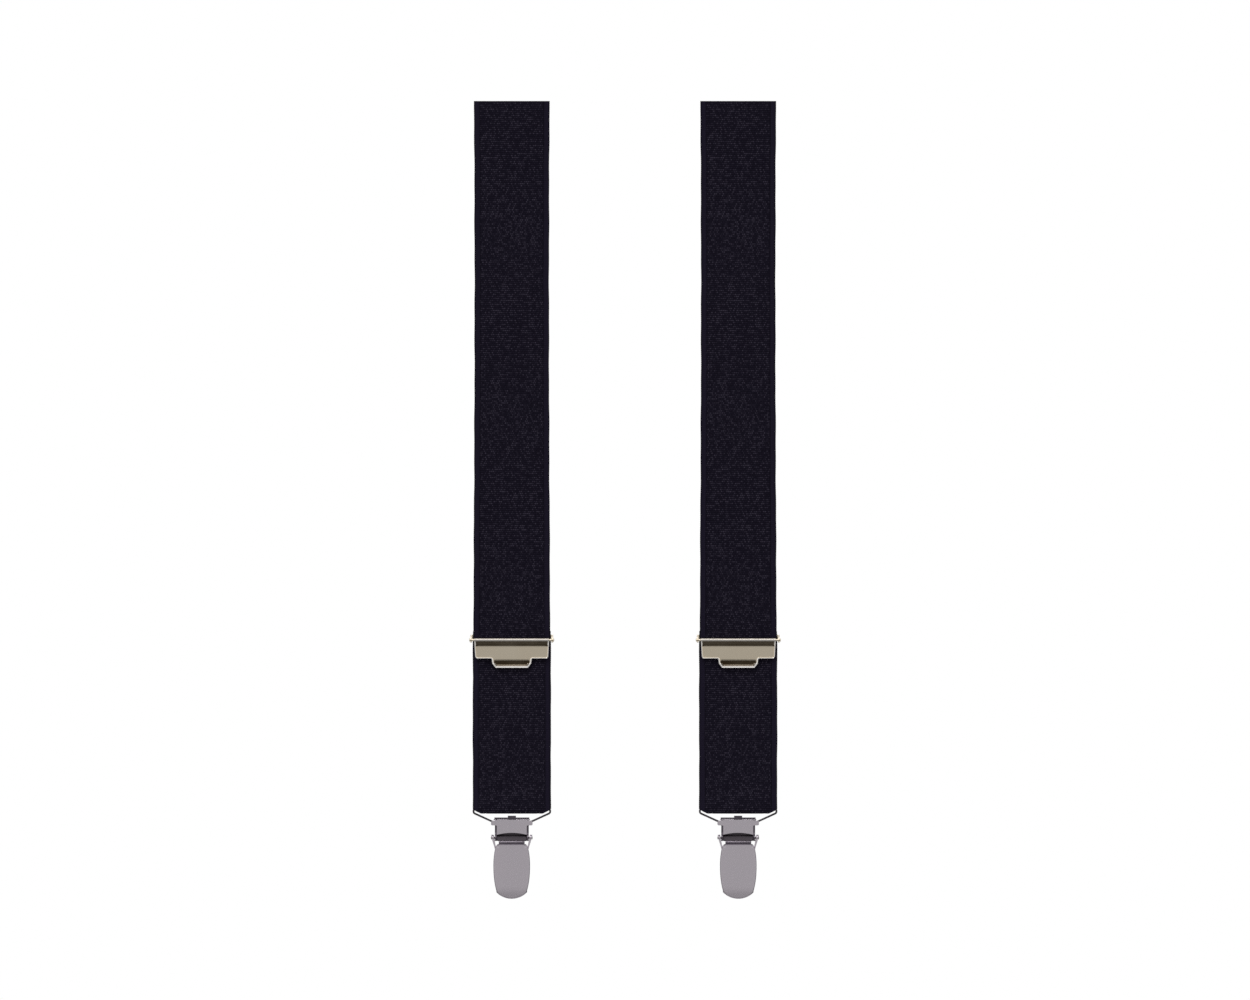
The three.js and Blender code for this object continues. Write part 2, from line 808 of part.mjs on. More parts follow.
function strap(side, x) {
  const named = (piece) => `${side}_${piece}`;
  const { webbing: cloth, nickel, steel, wire: dark, pad: grip } = materials;
  const group = new THREE.Group();
  group.position.x = x;
  const adjuster = placed(
    0,
    -adjusterDrop,
    mesh(named("webbing_sewn_end"), webbingSewnEnd(), cloth),
    mesh(named("adjuster_frame"), adjusterFrame(), nickel),
    mesh(named("adjuster_pin"), adjusterPin(), nickel),
    mesh(named("adjuster_flap"), adjusterFlap(), nickel),
  );
  const pivotY = -lever.pivotForward;
  const rivetGeometry = clipRivet();
  const leverGroup = placed(
    pivotY,
    -lever.pivotDrop,
    mesh(named("clip_lever"), clipLever(), steel),
    mesh(named("clip_rivet_1"), mirrored(rivetGeometry), steel),
    mesh(named("clip_rivet_2"), rivetGeometry, steel),
  );
  const clipGroup = placed(
    wirePlane,
    clipAxis,
    mesh(named("clip_body"), clipBody(), steel),
    mesh(named("clip_jaw"), clipJaw(), steel),
    mesh(named("clip_front_pad"), frontPad(), grip),
    mesh(named("clip_back_pad"), backPad(), grip),
    leverGroup,
  );
  group.add(
    mesh(named("webbing_upper"), webbingUpper(), cloth),
    mesh(named("webbing_front_run"), webbingFrontRun(), cloth),
    mesh(named("webbing_return_run"), webbingReturnRun(), cloth),
    adjuster,
    placed(wirePlane, foldCentre, mesh(named("webbing_fold"), webbingFold(), cloth)),
    placed(wirePlane, wireBar, mesh(named("wire_loop"), wireLoop(), dark)),
    clipGroup,
  );
  return group;
}

const suspenders = new THREE.Group();
suspenders.add(strap("left", -strapSpacing / 2), strap("right", strapSpacing / 2));

export default suspenders;
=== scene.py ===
"""Clip-on suspenders: the looks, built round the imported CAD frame. Metres, +Z up, the front faces -Y."""

import math

import bmesh
import bpy
import numpy as np
from mathutils import Matrix, Vector
from mathutils.geometry import delaunay_2d_cdt


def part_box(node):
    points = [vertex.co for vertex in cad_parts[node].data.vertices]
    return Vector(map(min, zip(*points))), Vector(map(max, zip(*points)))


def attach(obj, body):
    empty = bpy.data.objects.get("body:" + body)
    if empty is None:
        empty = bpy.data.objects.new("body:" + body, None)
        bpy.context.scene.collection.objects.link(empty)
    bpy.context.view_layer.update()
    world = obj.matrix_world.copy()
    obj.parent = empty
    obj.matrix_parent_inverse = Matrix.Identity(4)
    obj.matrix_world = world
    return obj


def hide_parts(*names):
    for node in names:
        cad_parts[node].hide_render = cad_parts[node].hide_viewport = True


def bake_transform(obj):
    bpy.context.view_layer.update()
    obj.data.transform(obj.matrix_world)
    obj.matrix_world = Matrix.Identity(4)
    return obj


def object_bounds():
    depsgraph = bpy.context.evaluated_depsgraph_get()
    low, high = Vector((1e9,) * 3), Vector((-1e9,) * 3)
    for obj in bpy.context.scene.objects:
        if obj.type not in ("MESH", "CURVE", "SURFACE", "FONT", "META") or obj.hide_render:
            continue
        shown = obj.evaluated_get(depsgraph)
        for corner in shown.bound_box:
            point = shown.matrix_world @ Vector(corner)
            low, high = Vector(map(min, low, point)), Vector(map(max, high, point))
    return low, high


MM = 0.001
SIDES = ("left", "right")

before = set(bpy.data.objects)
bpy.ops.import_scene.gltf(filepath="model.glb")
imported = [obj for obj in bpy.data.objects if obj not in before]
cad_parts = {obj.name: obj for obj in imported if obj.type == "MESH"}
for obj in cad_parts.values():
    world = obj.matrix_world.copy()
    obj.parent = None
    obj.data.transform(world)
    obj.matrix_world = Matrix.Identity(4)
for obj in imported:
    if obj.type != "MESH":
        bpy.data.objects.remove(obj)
cad_low, cad_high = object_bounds()

# ------------------------------------------------------------------ sizes that only the looks use
RIB_PITCH = 0.92 * MM  # one crosswise rib of the webbing
RIB_HEIGHT = 0.035 * MM
COLUMN_PITCH = 0.8 * MM  # one lengthwise column of the weave
SELVEDGE = 2.5 * MM  # edge to the groove beside the selvedge
WAIST = 0.45 * MM  # how much narrower each edge of the stretched webbing is at its middle
WAIST_TOP, WAIST_LENGTH = 40 * MM, 260 * MM
SLACK_EASE = 12 * MM  # length over which the webbing widens at the adjuster
PINCH_START, PINCH_LENGTH = 0.4 * MM, 0.85 * MM  # where the fold is drawn in, below its centre
FRONT_RETURN = 18 * MM  # how far the front strip runs up the back
STITCH, STITCH_GAP, THREAD = 1.9 * MM, 0.7 * MM, 0.2 * MM
STITCH_ROWS, STITCH_MARGIN = (1.4 * MM, 4.4 * MM), 2 * MM  # above the seam, and in from both edges
RIM_WIDTH = 0.6 * MM  # raised edge of the adjuster's flap
RIM_HEIGHT = 0.5 * MM
TAB_RIM = 1.1 * MM  # the finger tab's wider raised edge
TAB_SLOPE = 0.25  # how fast that edge falls back towards the tab's middle
COVE_HEIGHT = 2.5 * MM  # sloping band under the flap's top roll
COVE_DEPTH = 0.8 * MM
CREST = 0.03 * MM  # how far back from the roll's front the tray starts
TAB_HEIGHT, TAB_HALF, TAB_LOW_HALF = 4.2 * MM, 9.15 * MM, 7.45 * MM
TAB_CORNER, TAB_LEAN = 1.8 * MM, 0.3 * MM
FLAP_LEAN = 0.5 * MM  # how much each side of the flap leans in
FLAP_SHEET, CURL_SHEET = 0.55 * MM, 0.35 * MM
TEETH, TOOTH_PITCH = 15, 2 * MM
PIN_SHANK, PIN_DOME = 0.5 * MM, 0.35 * MM
WIRE_MOUTH, WIRE_RISE, WIRE_GAP = 8.75 * MM, 1.65 * MM, 0.15 * MM  # bottom corners, side corners, split
WIRE_BEND = 0.78 * MM
CORNER_WIDTH = 2.4 * MM  # the fold's lower corners slope in above the wire
CORNER_HEIGHT = 1.3 * MM
LEVER_CROWN = 0.9 * MM
LEVER_TOP = 2.8 * MM  # pivot to the top edge of the plate
LEVER_CORNER = 0.9 * MM
LEVER_TOP_HALF, LEVER_HALF, LEVER_TIP_HALF = 7.3 * MM, 8.35 * MM, 6.75 * MM
LEVER_ROUND = 2.7 * MM  # height of the round tip
LEVER_SHEET = 0.6 * MM
EAR_RADIUS, EAR_LENGTH, EAR_HOLE = 1.45 * MM, 5.2 * MM, 0.62 * MM
EAR_INNER, EAR_LEAN = 8.05 * MM, 0.185
EAR_FOOT_SHEET, EAR_EXTRA_SHEET = 0.62 * MM, 0.5 * MM  # thickness at the foot, and what the pivot has more
CAM_HALF, CAM_RADIUS = 5.9 * MM, 0.8 * MM
CAM_BACK, CAM_DROP = 0.68 * MM, 2.2 * MM  # the cam's axis, in front of and below the pivot
RIVET_SHANK, RIVET_CAP = 0.5 * MM, 0.36 * MM
TOP_BAND, WINDOW_TOP, WINDOW_LOW = 1.62 * MM, 4.4 * MM, 11 * MM  # places painted dark as painted shade, down from the clip's top
BODY_CUTS = (1.6 * MM, 4.45 * MM, 11.2 * MM)  # beside those limits, so that no new vertex lies on one
FLANGE_INNER = 6.85 * MM
BEVEL = 0.12 * MM
PLATE_STEP = 0.32 * MM
FLOOR_HALF, FLOOR_DROP = 0.24, 0.2
SENSOR_WIDTH = 36
CAMERA_DISTANCE = 3.0
FRAME_WIDTH = 0.5719  # what the camera's long side takes in at the straps
CAMERA_DROP = 0.1825  # origin down to the middle of the view


def node_size(side, piece):
    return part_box(f"{side}_{piece}")


# ------------------------------------------------------------------ materials
CLOTH_DARK = (0.0038, 0.0026, 0.0074)
CLOTH_MIDDLE = (0.0092, 0.0072, 0.0160)
CLOTH_LIGHT = (0.043, 0.037, 0.056)
SELVEDGE_DARK = (0.0052, 0.0038, 0.0095)
SELVEDGE_LIGHT = (0.0190, 0.0150, 0.0330)
NICKEL = (0.725, 0.645, 0.515)  # the adjuster's warm plate
NICKEL_STAIN = (0.67, 0.57, 0.43)
STEEL = (0.665, 0.61, 0.66)  # the clip's cooler plate
STEEL_STAIN = (0.615, 0.575, 0.63)
# painted shade: the dark brown mixed into the metal at recesses, top edges and faces that lie in shadow
PAINTED_SHADE_COLOUR = (0.062, 0.040, 0.018)
HIGHLIGHT_PAINT = (0.86, 0.83, 0.79)  # painted highlight: the paler tint on the flap's rims and roll


class Nodes:
    """Adds and links the shader nodes of a material or a world."""

    def __init__(self, owner, output="ShaderNodeOutputMaterial"):
        self.owner = owner
        owner.use_nodes = True
        self.tree = owner.node_tree
        self.tree.nodes.clear()
        self.output = self.tree.nodes.new(output)

    def add(self, kind, **settings):
        node = self.tree.nodes.new(kind)
        for key, value in settings.items():
            setattr(node, key, value)
        return node

    def link(self, a, b):
        self.tree.links.new(a, b)

    def put(self, socket, value):
        if isinstance(value, bpy.types.NodeSocket):
            self.link(value, socket)
        elif value is not None:
            socket.default_value = value

    def math(self, operation, a, b=None, clamp=False):
        node = self.add("ShaderNodeMath", operation=operation, use_clamp=clamp)
        self.put(node.inputs[0], a)
        self.put(node.inputs[1], b)
        return node.outputs[0]

    def noise(self, vector, scale, detail=3.0, rough=0.55):
        node = self.add("ShaderNodeTexNoise")
        self.put(node.inputs["Vector"], vector)
        node.inputs["Scale"].default_value = scale
        node.inputs["Detail"].default_value = detail
        node.inputs["Roughness"].default_value = rough
        return node.outputs["Fac"]

    def ramp(self, value, stops, interpolation="LINEAR"):
        node = self.add("ShaderNodeValToRGB")
        self.put(node.inputs[0], value)
        ramp = node.color_ramp
        ramp.interpolation = interpolation
        while len(ramp.elements) < len(stops):
            ramp.elements.new(0.5)
        for element, (place, colour) in zip(ramp.elements, stops):
            element.position = place
            element.color = (*colour, 1)
        return node.outputs[0]

    def mix(self, share, a, b, blend="MIX"):
        node = self.add("ShaderNodeMix", data_type="RGBA", blend_type=blend)
        self.put(node.inputs["Factor"], share)
        self.put(node.inputs["A"], a if isinstance(a, bpy.types.NodeSocket) else (*a, 1))
        self.put(node.inputs["B"], b if isinstance(b, bpy.types.NodeSocket) else (*b, 1))
        return node.outputs["Result"]

    def bump(self, height, strength, distance, normal=None):
        node = self.add("ShaderNodeBump")
        node.inputs["Strength"].default_value = strength
        node.inputs["Distance"].default_value = distance
        self.put(node.inputs["Height"], height)
        if normal is not None:
            self.link(normal, node.inputs["Normal"])
        return node.outputs[0]

    def shader(self, colour, rough, normal, **fixed):
        node = self.add("ShaderNodeBsdfPrincipled")
        self.put(node.inputs["Base Color"], colour)
        self.put(node.inputs["Roughness"], rough)
        if normal is not None:
            self.link(normal, node.inputs["Normal"])
        for key, value in fixed.items():
            node.inputs[key.replace("_", " ")].default_value = value
        self.link(node.outputs[0], self.output.inputs[0])
        return self.owner


def material_nodes(name):
    return Nodes(bpy.data.materials.new(name))


def webbing_material():
    """Ribbed elastic: crosswise ribs crossed by lengthwise columns, with a plain selvedge at each edge.
    The mesh's own attribute holds the place across the webbing, along it, and in from its nearest edge, in
    millimetres."""
    n = material_nodes("ribbed_webbing")
    place = n.add("ShaderNodeAttribute", attribute_name="weave")
    split = n.add("ShaderNodeSeparateXYZ")
    n.link(place.outputs["Vector"], split.inputs[0])
    across, along, from_edge = split.outputs
    wander = n.math("MULTIPLY", n.noise(place.outputs["Vector"], 0.35), 0.7)
    row = n.math("ADD", n.math("DIVIDE", along, RIB_PITCH / MM), wander)
    odd = n.math("MODULO", n.math("FLOOR", row), 2.0)
    column = n.math("ADD", n.math("DIVIDE", across, COLUMN_PITCH / MM), n.math("MULTIPLY", odd, 0.5))
    rib = n.math("SINE", n.math("MULTIPLY", n.math("FRACT", row), math.pi))
    yarn = n.math("SINE", n.math("MULTIPLY", n.math("FRACT", column), math.pi))
    crest = n.math("MULTIPLY", rib, n.math("POWER", yarn, 0.6))
    cell = n.add("ShaderNodeCombineXYZ")
    n.link(n.math("FLOOR", column), cell.inputs[0])
    n.link(n.math("FLOOR", row), cell.inputs[1])
    stitch = n.add("ShaderNodeTexWhiteNoise", noise_dimensions="3D")
    n.link(cell.outputs[0], stitch.inputs["Vector"])
    fuzz = n.noise(place.outputs["Vector"], 3.2, 4.0, 0.7)
    patch = n.noise(place.outputs["Vector"], 0.16, 3.0, 0.6)
    uneven = n.math("ADD", n.math("POWER", stitch.outputs["Value"], 2.2), 0.35)
    # painted highlight and shade: the crests of the yarns are painted lighter and the hollows between them darker,
    # with a random tone for each yarn on top
    light = n.math("MULTIPLY", n.math("POWER", crest, 1.3), uneven)
    light = n.math("MULTIPLY", light, n.math("ADD", fuzz, n.math("MULTIPLY", patch, 0.9)))
    cloth = n.ramp(light, [(0.0, CLOTH_DARK), (0.3, CLOTH_MIDDLE), (1.0, CLOTH_LIGHT)])
    edge_band = n.math("LESS_THAN", from_edge, SELVEDGE / MM)
    fine = n.math("SINE", n.math("MULTIPLY", across, 2 * math.pi / 0.6))
    band = n.math("MULTIPLY", n.math("ADD", fine, 1.6), n.math("MULTIPLY", fuzz, 0.4))
    # painted highlight: the selvedge is lighter on the rib crests
    band = n.math("MULTIPLY", band, n.math("ADD", n.math("MULTIPLY", rib, 0.5), 0.7))
    cloth = n.mix(edge_band, cloth, n.ramp(band, [(0.0, SELVEDGE_DARK), (0.8, SELVEDGE_LIGHT)]))
    # painted shade: a dark line along the groove beside the selvedge
    off_line = n.math("ABSOLUTE", n.math("SUBTRACT", from_edge, SELVEDGE / MM + 0.2))
    line = n.math("SUBTRACT", 1.0, n.math("MULTIPLY", off_line, 2.0), clamp=True)
    cloth = n.mix(n.math("MULTIPLY", line, 0.8), cloth, CLOTH_DARK)
    outer = n.math("SUBTRACT", 1.0, n.math("DIVIDE", from_edge, 0.75), clamp=True)
    cloth = n.mix(n.math("MULTIPLY", outer, 0.9), cloth, tuple(0.3 * c for c in CLOTH_DARK))
    height = n.math("ADD", crest, n.math("MULTIPLY", fuzz, 0.35))
    normal = n.bump(height, 0.8, 0.10 * MM)
    rough = n.math("ADD", n.math("MULTIPLY", fuzz, 0.2), 0.72)
    return n.shader(cloth, rough, normal, Sheen_Weight=0.02, Sheen_Roughness=0.5, Specular_IOR_Level=0.06)


def thread_material():
    n = material_nodes("stitch_thread")
    at = n.add("ShaderNodeTexCoord").outputs["Object"]
    ply = n.add("ShaderNodeTexWave", wave_type="BANDS", bands_direction="DIAGONAL")
    n.put(ply.inputs["Vector"], at)
    ply.inputs["Scale"].default_value = 1100
    colour = n.ramp(ply.outputs["Fac"], [(0.0, (0.006, 0.005, 0.01)), (1.0, (0.03, 0.026, 0.042))])
    return n.shader(colour, 0.6, n.bump(ply.outputs["Fac"], 0.6, 0.05 * MM), Sheen_Weight=0.2)


def metal_material(name, colour, stain, rough_low, rough_high, grain, tarnish=PAINTED_SHADE_COLOUR):
    """Plated metal: soft mottling, a faint polish in one direction, a painted highlight (a paler tint) where the
    mesh's highlight attribute says so, and painted shade (dark brown, a little rougher) where its shade attribute
    says so."""
    n = material_nodes(name)
    at = n.add("ShaderNodeTexCoord").outputs["Object"]
    mottle = n.noise(at, 420, 4.0, 0.6)
    cloudy = n.noise(at, 90, 2.0, 0.5)
    stretch = n.add("ShaderNodeMapping")
    stretch.inputs["Scale"].default_value = grain
    n.link(at, stretch.inputs["Vector"])
    polish = n.noise(stretch.outputs[0], 700, 3.0, 0.6)
    tint = n.mix(n.math("MULTIPLY", cloudy, 0.6), colour, stain)
    tint = n.mix(n.math("MULTIPLY", mottle, 0.06), tint, tuple(0.6 * c for c in colour))
    # painted highlight: a paler tint where the mesh marks it
    tint = n.mix(n.add("ShaderNodeAttribute", attribute_name="wear").outputs["Fac"], tint, HIGHLIGHT_PAINT)
    # painted shade: dark brown mixed in where the mesh marks it, and made a little rougher there
    shade_share = n.add("ShaderNodeAttribute", attribute_name="tarnish").outputs["Fac"]
    shade_amount = n.math("MULTIPLY", shade_share, n.math("ADD", n.math("MULTIPLY", cloudy, 0.25), 0.82), clamp=True)
    tint = n.mix(shade_amount, tint, tarnish)
    spread = rough_high - rough_low
    rough = n.math("ADD", n.math("MULTIPLY", n.math("MULTIPLY", mottle, polish), 2 * spread), rough_low)
    rough = n.math("ADD", rough, n.math("MULTIPLY", shade_share, 0.12))
    normal = n.bump(polish, 0.04, 0.01 * MM)
    normal = n.bump(mottle, 0.015, 0.02 * MM, normal)
    return n.shader(tint, rough, normal, Metallic=1.0)


def pad_material():
    n = material_nodes("moulded_pad")
    at = n.add("ShaderNodeTexCoord").outputs["Object"]
    grain = n.noise(at, 2400, 3.0, 0.7)
    colour = n.ramp(grain, [(0.2, (0.012, 0.011, 0.014)), (0.9, (0.028, 0.026, 0.031))])
    return n.shader(colour, n.math("ADD", n.math("MULTIPLY", grain, 0.2), 0.5), n.bump(grain, 0.3, 0.04 * MM))


def floor_material():
    n = material_nodes("pale_floor")
    at = n.add("ShaderNodeTexCoord").outputs["Object"]
    speck = n.noise(at, 90, 3.0, 0.6)
    colour = n.ramp(speck, [(0.3, (0.80, 0.80, 0.80)), (0.8, (0.84, 0.84, 0.84))])
    return n.shader(colour, 0.75, n.bump(speck, 0.1, 0.2 * MM))


LOOKS = {
    "webbing": webbing_material(),
    "thread": thread_material(),
    "nickel": metal_material("warm_nickel", NICKEL, NICKEL_STAIN, 0.20, 0.30, (1, 8, 8)),
    # the clip's metal takes a dark grey for its painted shade
    "steel": metal_material("clip_nickel", STEEL, STEEL_STAIN, 0.22, 0.30, (8, 8, 1), (0.10, 0.085, 0.105)),
    # painted shade: near-black steel for the jaw, so that the clip's window looks shadowed
    "shade_dark_steel": metal_material("shade_dark_steel", (0.085, 0.074, 0.085), (0.05, 0.043, 0.05), 0.28, 0.42, (8, 8, 1)),
    # painted shade: a near-black base for the loop wire and the rivets, standing in for the dark reflections on them
    "wire": metal_material("loop_wire", (0.085, 0.076, 0.085), (0.045, 0.04, 0.045), 0.25, 0.38, (1, 6, 6)),
    "pad": pad_material(),
}


# ------------------------------------------------------------------ mesh helpers
def make_object(name, verts, faces, look, sharp=40, **shares):
    mesh = bpy.data.meshes.new(name)
    mesh.from_pydata([tuple(v) for v in verts], [], faces)
    for key, values in shares.items():
        layer = mesh.attributes.new(key, "FLOAT", "POINT")
        layer.data.foreach_set("value", np.asarray(values, np.float32))
    bm = bmesh.new()
    bm.from_mesh(mesh)
    bmesh.ops.recalc_face_normals(bm, faces=bm.faces)
    bm.to_mesh(mesh)
    bm.free()
    obj = bpy.data.objects.new(name, mesh)
    bpy.context.scene.collection.objects.link(obj)
    mesh.materials.append(LOOKS[look])
    mesh.polygons.foreach_set("use_smooth", [True] * len(mesh.polygons))
    mesh.set_sharp_from_angle(angle=math.radians(sharp))
    return obj


def refined(node, name, look, bevel=BEVEL, sharp=32, cuts=(), shade_share=None):
    """A copy of a CAD node with its flat faces made whole again and its edges broken by a small bevel. Its faces
    are divided at each plane (point, normal) in cuts; the function given last, called with a face's centre and
    normal, gives that face's share of painted shade."""
    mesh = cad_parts[node].data.copy()
    mesh.name = name
    if "custom_normal" in mesh.attributes:
        mesh.attributes.remove(mesh.attributes["custom_normal"])
    bm = bmesh.new()
    bm.from_mesh(mesh)
    bmesh.ops.remove_doubles(bm, verts=bm.verts, dist=1e-7)
    bmesh.ops.dissolve_limit(bm, angle_limit=math.radians(1.0), verts=bm.verts, edges=bm.edges)
    corners = [e for e in bm.edges if len(e.link_faces) == 2 and e.calc_face_angle(0) > math.radians(sharp)]
    bmesh.ops.bevel(
        bm, geom=corners, offset=bevel, segments=3, profile=0.5, affect="EDGES", clamp_overlap=True
    )
    for at, normal in cuts:
        everything = [*bm.verts, *bm.edges, *bm.faces]
        bmesh.ops.bisect_plane(bm, geom=everything, dist=1e-7, plane_co=at, plane_no=normal)
    bmesh.ops.recalc_face_normals(bm, faces=bm.faces)
    # painted shade: each face's share, read by the metal material
    if shade_share:
        layer = bm.faces.layers.float.new("tarnish")
        for face in bm.faces:
            face[layer] = shade_share(face.calc_center_median(), face.normal)
    bm.to_mesh(mesh)
    bm.free()
    mesh.materials.clear()
    mesh.materials.append(LOOKS[look])
    mesh.polygons.foreach_set("use_smooth", [True] * len(mesh.polygons))
    mesh.set_sharp_from_angle(angle=math.radians(sharp + 8))
    obj = bpy.data.objects.new(name, mesh)
    bpy.context.scene.collection.objects.link(obj)
    weigh = obj.modifiers.new("flat faces", "WEIGHTED_NORMAL")
    weigh.weight = 100
    weigh.keep_sharp = True
    graph = bpy.context.evaluated_depsgraph_get()
    obj.data = bpy.data.meshes.new_from_object(obj.evaluated_get(graph), depsgraph=graph)
    obj.data.name = name
    obj.modifiers.clear()
    return obj


def lathe(profile, centre, steps=40):
    """Vertices and faces of a piece turned about X from [(x, radius)]; its ends are closed at radius 0."""
    verts, faces = [], []
    for x, radius in profile:
        for k in range(steps):
            a = 2 * math.pi * k / steps
            verts.append((centre[0] + x, centre[1] + radius * math.cos(a), centre[2] + radius * math.sin(a)))
    for i in range(len(profile) - 1):
        for k in range(steps):
            j = (k + 1) % steps
            faces.append((i * steps + k, i * steps + j, (i + 1) * steps + j, (i + 1) * steps + k))
    faces.append(tuple(range(steps)))
    faces.append(tuple(range((len(profile) - 1) * steps, len(profile) * steps)))
    return verts, faces


def tube(x0, x1, centre, outer, inner, steps=40):
    """A length of pipe along X, with both ends closed by a ring."""
    rings = [(x0, outer), (x1, outer), (x1, inner), (x0, inner)]
    verts, faces = [], []
    for x, radius in rings:
        for k in range(steps):
            a = 2 * math.pi * k / steps
            verts.append((x, centre[0] + radius * math.cos(a), centre[1] + radius * math.sin(a)))
    for i in range(4):
        for k in range(steps):
            j, m = (k + 1) % steps, (i + 1) % 4
            faces.append((i * steps + k, i * steps + j, m * steps + j, m * steps + k))
    return verts, faces


def merged(*parts):
    verts, faces = [], []
    for v, f in parts:
        base = len(verts)
        verts += list(v)
        faces += [tuple(i + base for i in face) for face in f]
    return verts, faces


def resample(loop, step):
    """The points of a closed outline, with more between them so that none are further apart than step."""
    out = []
    for i, a in enumerate(loop):
        b = loop[(i + 1) % len(loop)]
        count = max(1, math.ceil(math.dist(a, b) / step))
        out += [(a[0] + (b[0] - a[0]) * k / count, a[1] + (b[1] - a[1]) * k / count) for k in range(count)]
    return out


def edge_distance(points, loops):
    """Distance from each point to the nearest outline, positive inside the first one and outside the rest."""
    p = np.asarray(points, float)
    best = np.full(len(p), 1e9)
    inside = np.zeros(len(p), bool)
    for loop in loops:
        a = np.asarray(loop, float)
        b = np.roll(a, -1, axis=0)
        for (ax, az), (bx, bz) in zip(a, b):
            d = np.array([bx - ax, bz - az])
            t = np.clip(((p - (ax, az)) @ d) / max(d @ d, 1e-18), 0, 1)
            best = np.minimum(best, np.hypot(p[:, 0] - ax - t * d[0], p[:, 1] - az - t * d[1]))
            crosses = (az > p[:, 1]) != (bz > p[:, 1])
            with np.errstate(divide="ignore", invalid="ignore"):
                x = ax + (p[:, 1] - az) * (bx - ax) / (bz - az)
            inside ^= crosses & (p[:, 0] < x)
    return np.where(inside, best, -best)


def sheet_plate(loops, height, thickness, step=PLATE_STEP, rows=(0.05, 0.14, 0.28, 0.46, 0.7, 1.0)):
    """A pressed metal sheet. loops are its outline and holes as (x, z); height(x, z, edge) gives the depth y of
    its front, where edge is the distance to the nearest outline. Returns vertices and faces of a closed solid."""
    loops = [resample(loop, step) for loop in loops]
    points = [p for loop in loops for p in loop]
    edges, base = [], 0
    for loop in loops:
        edges += [(base + i, base + (i + 1) % len(loop)) for i in range(len(loop))]
        base += len(loop)
    extra = []
    for loop in loops:
        count = len(loop)
        for i in range(count):
            a, b = loop[i - 1], loop[(i + 1) % count]
            length = math.dist(a, b) or 1
            normal = (-(b[1] - a[1]) / length, (b[0] - a[0]) / length)
            for row in rows:
                for sign in (1, -1):
                    x = loop[i][0] + sign * normal[0] * row * MM
                    z = loop[i][1] + sign * normal[1] * row * MM
                    extra.append((x, z, row * MM))
    xs, zs = zip(*loops[0])
    gx = np.arange(min(xs), max(xs), step * 1.6)
    gz = np.arange(min(zs), max(zs), step * 1.6)
    grid = [(x, z, rows[-1] * MM * 1.2) for x in gx for z in gz]
    near = edge_distance([(x, z) for x, z, _ in extra], loops)
    kept = [e[:2] for e, d in zip(extra, near) if d > e[2] - 0.004 * MM]
    far = edge_distance([(x, z) for x, z, _ in grid], loops)
    kept += [g[:2] for g, d in zip(grid, far) if d > g[2]]
    all_points = [Vector(p) for p in points + kept]
    vs, _, fs, *_ = delaunay_2d_cdt(all_points, edges, [], 0, 1e-7)
    v2 = np.array([(v.x, v.y) for v in vs])
    centres = np.array([v2[list(f)].mean(axis=0) for f in fs])
    solid = edge_distance(centres, loops) > 0
    fs = [tuple(f) for f, keep in zip(fs, solid) if keep]
    near = np.maximum(edge_distance(v2, loops), 0)
    y = np.array([height(x, z, d) for (x, z), d in zip(v2, near)])
    back = np.array([thickness(x, z, d) if callable(thickness) else thickness for (x, z), d in zip(v2, near)])
    count = len(v2)
    verts = [(x, d, z) for (x, z), d in zip(v2, y)]
    verts += [(x, d + t, z) for (x, z), d, t in zip(v2, y, back)]
    faces = fs + [tuple(i + count for i in reversed(f)) for f in fs]
    seen = {}
    for f in fs:
        for i in range(len(f)):
            a, b = f[i], f[(i + 1) % len(f)]
            if (b, a) in seen:
                del seen[(b, a)]
            else:
                seen[(a, b)] = True
    faces += [(b, a, a + count, b + count) for a, b in seen]
    used = sorted({i for f in faces for i in f})
    index = {old: new for new, old in enumerate(used)}
    return [verts[i] for i in used], [tuple(index[i] for i in f) for f in faces]


def arc(centre, radius, start, end, steps):
    """Points (x, z) of an arc, angles in degrees."""
    return [
        (
            centre[0] + radius * math.cos(math.radians(start + (end - start) * k / steps)),
            centre[1] + radius * math.sin(math.radians(start + (end - start) * k / steps)),
        )
        for k in range(steps + 1)
    ]


def rounded(corners, radius, steps=6):
    """A closed outline with each corner rounded; radius is one number, or one for each corner."""
    count = len(corners)
    out = []
    for i, at in enumerate(corners):
        r = radius[i] if hasattr(radius, "__len__") else radius
        here = Vector(at)
        to_last = (Vector(corners[i - 1]) - here).normalized()
        to_next = (Vector(corners[(i + 1) % count]) - here).normalized()
        if r <= 0:
            out.append(tuple(here))
            continue
        turn = to_last.angle(to_next)
        back = r / math.tan(turn / 2)
        start, end = here + to_last * back, here + to_next * back
        for k in range(steps + 1):
            t = k / steps
            out.append(tuple((1 - t) ** 2 * start + 2 * t * (1 - t) * here + t * t * end))
    return out


def smooth_step(t):
    t = min(1.0, max(0.0, t))
    return t * t * (3 - 2 * t)


# ------------------------------------------------------------------ webbing
FACE_PROFILE = [  # distance in from the edge and how far the face lies below its flat part, in millimetres
    (0.06, 0.30), (0.28, 0.07), (0.9, 0.0), (1.7, 0.01), (2.3, 0.03), (2.6, 0.12), (2.9, 0.03), (3.5, 0.0),
]


def along_path(points, step):
    """Even steps along a run of (y, z) points: [(y, z, tangent y, tangent z)]."""
    lengths = [0.0]
    for a, b in zip(points, points[1:]):
        lengths.append(lengths[-1] + math.dist(a, b))
    count = max(2, round(lengths[-1] / step))
    out, i = [], 0
    for k in range(count + 1):
        s = lengths[-1] * k / count
        while i < len(points) - 2 and lengths[i + 1] < s:
            i += 1
        a, b = points[i], points[i + 1]
        span = max(lengths[i + 1] - lengths[i], 1e-12)
        t = (s - lengths[i]) / span
        out.append([a[0] + (b[0] - a[0]) * t, a[1] + (b[1] - a[1]) * t])
    out = np.array(out)
    tangent = np.gradient(out, axis=0)
    tangent /= np.linalg.norm(tangent, axis=1)[:, None]
    return out, tangent, lengths[-1] / count


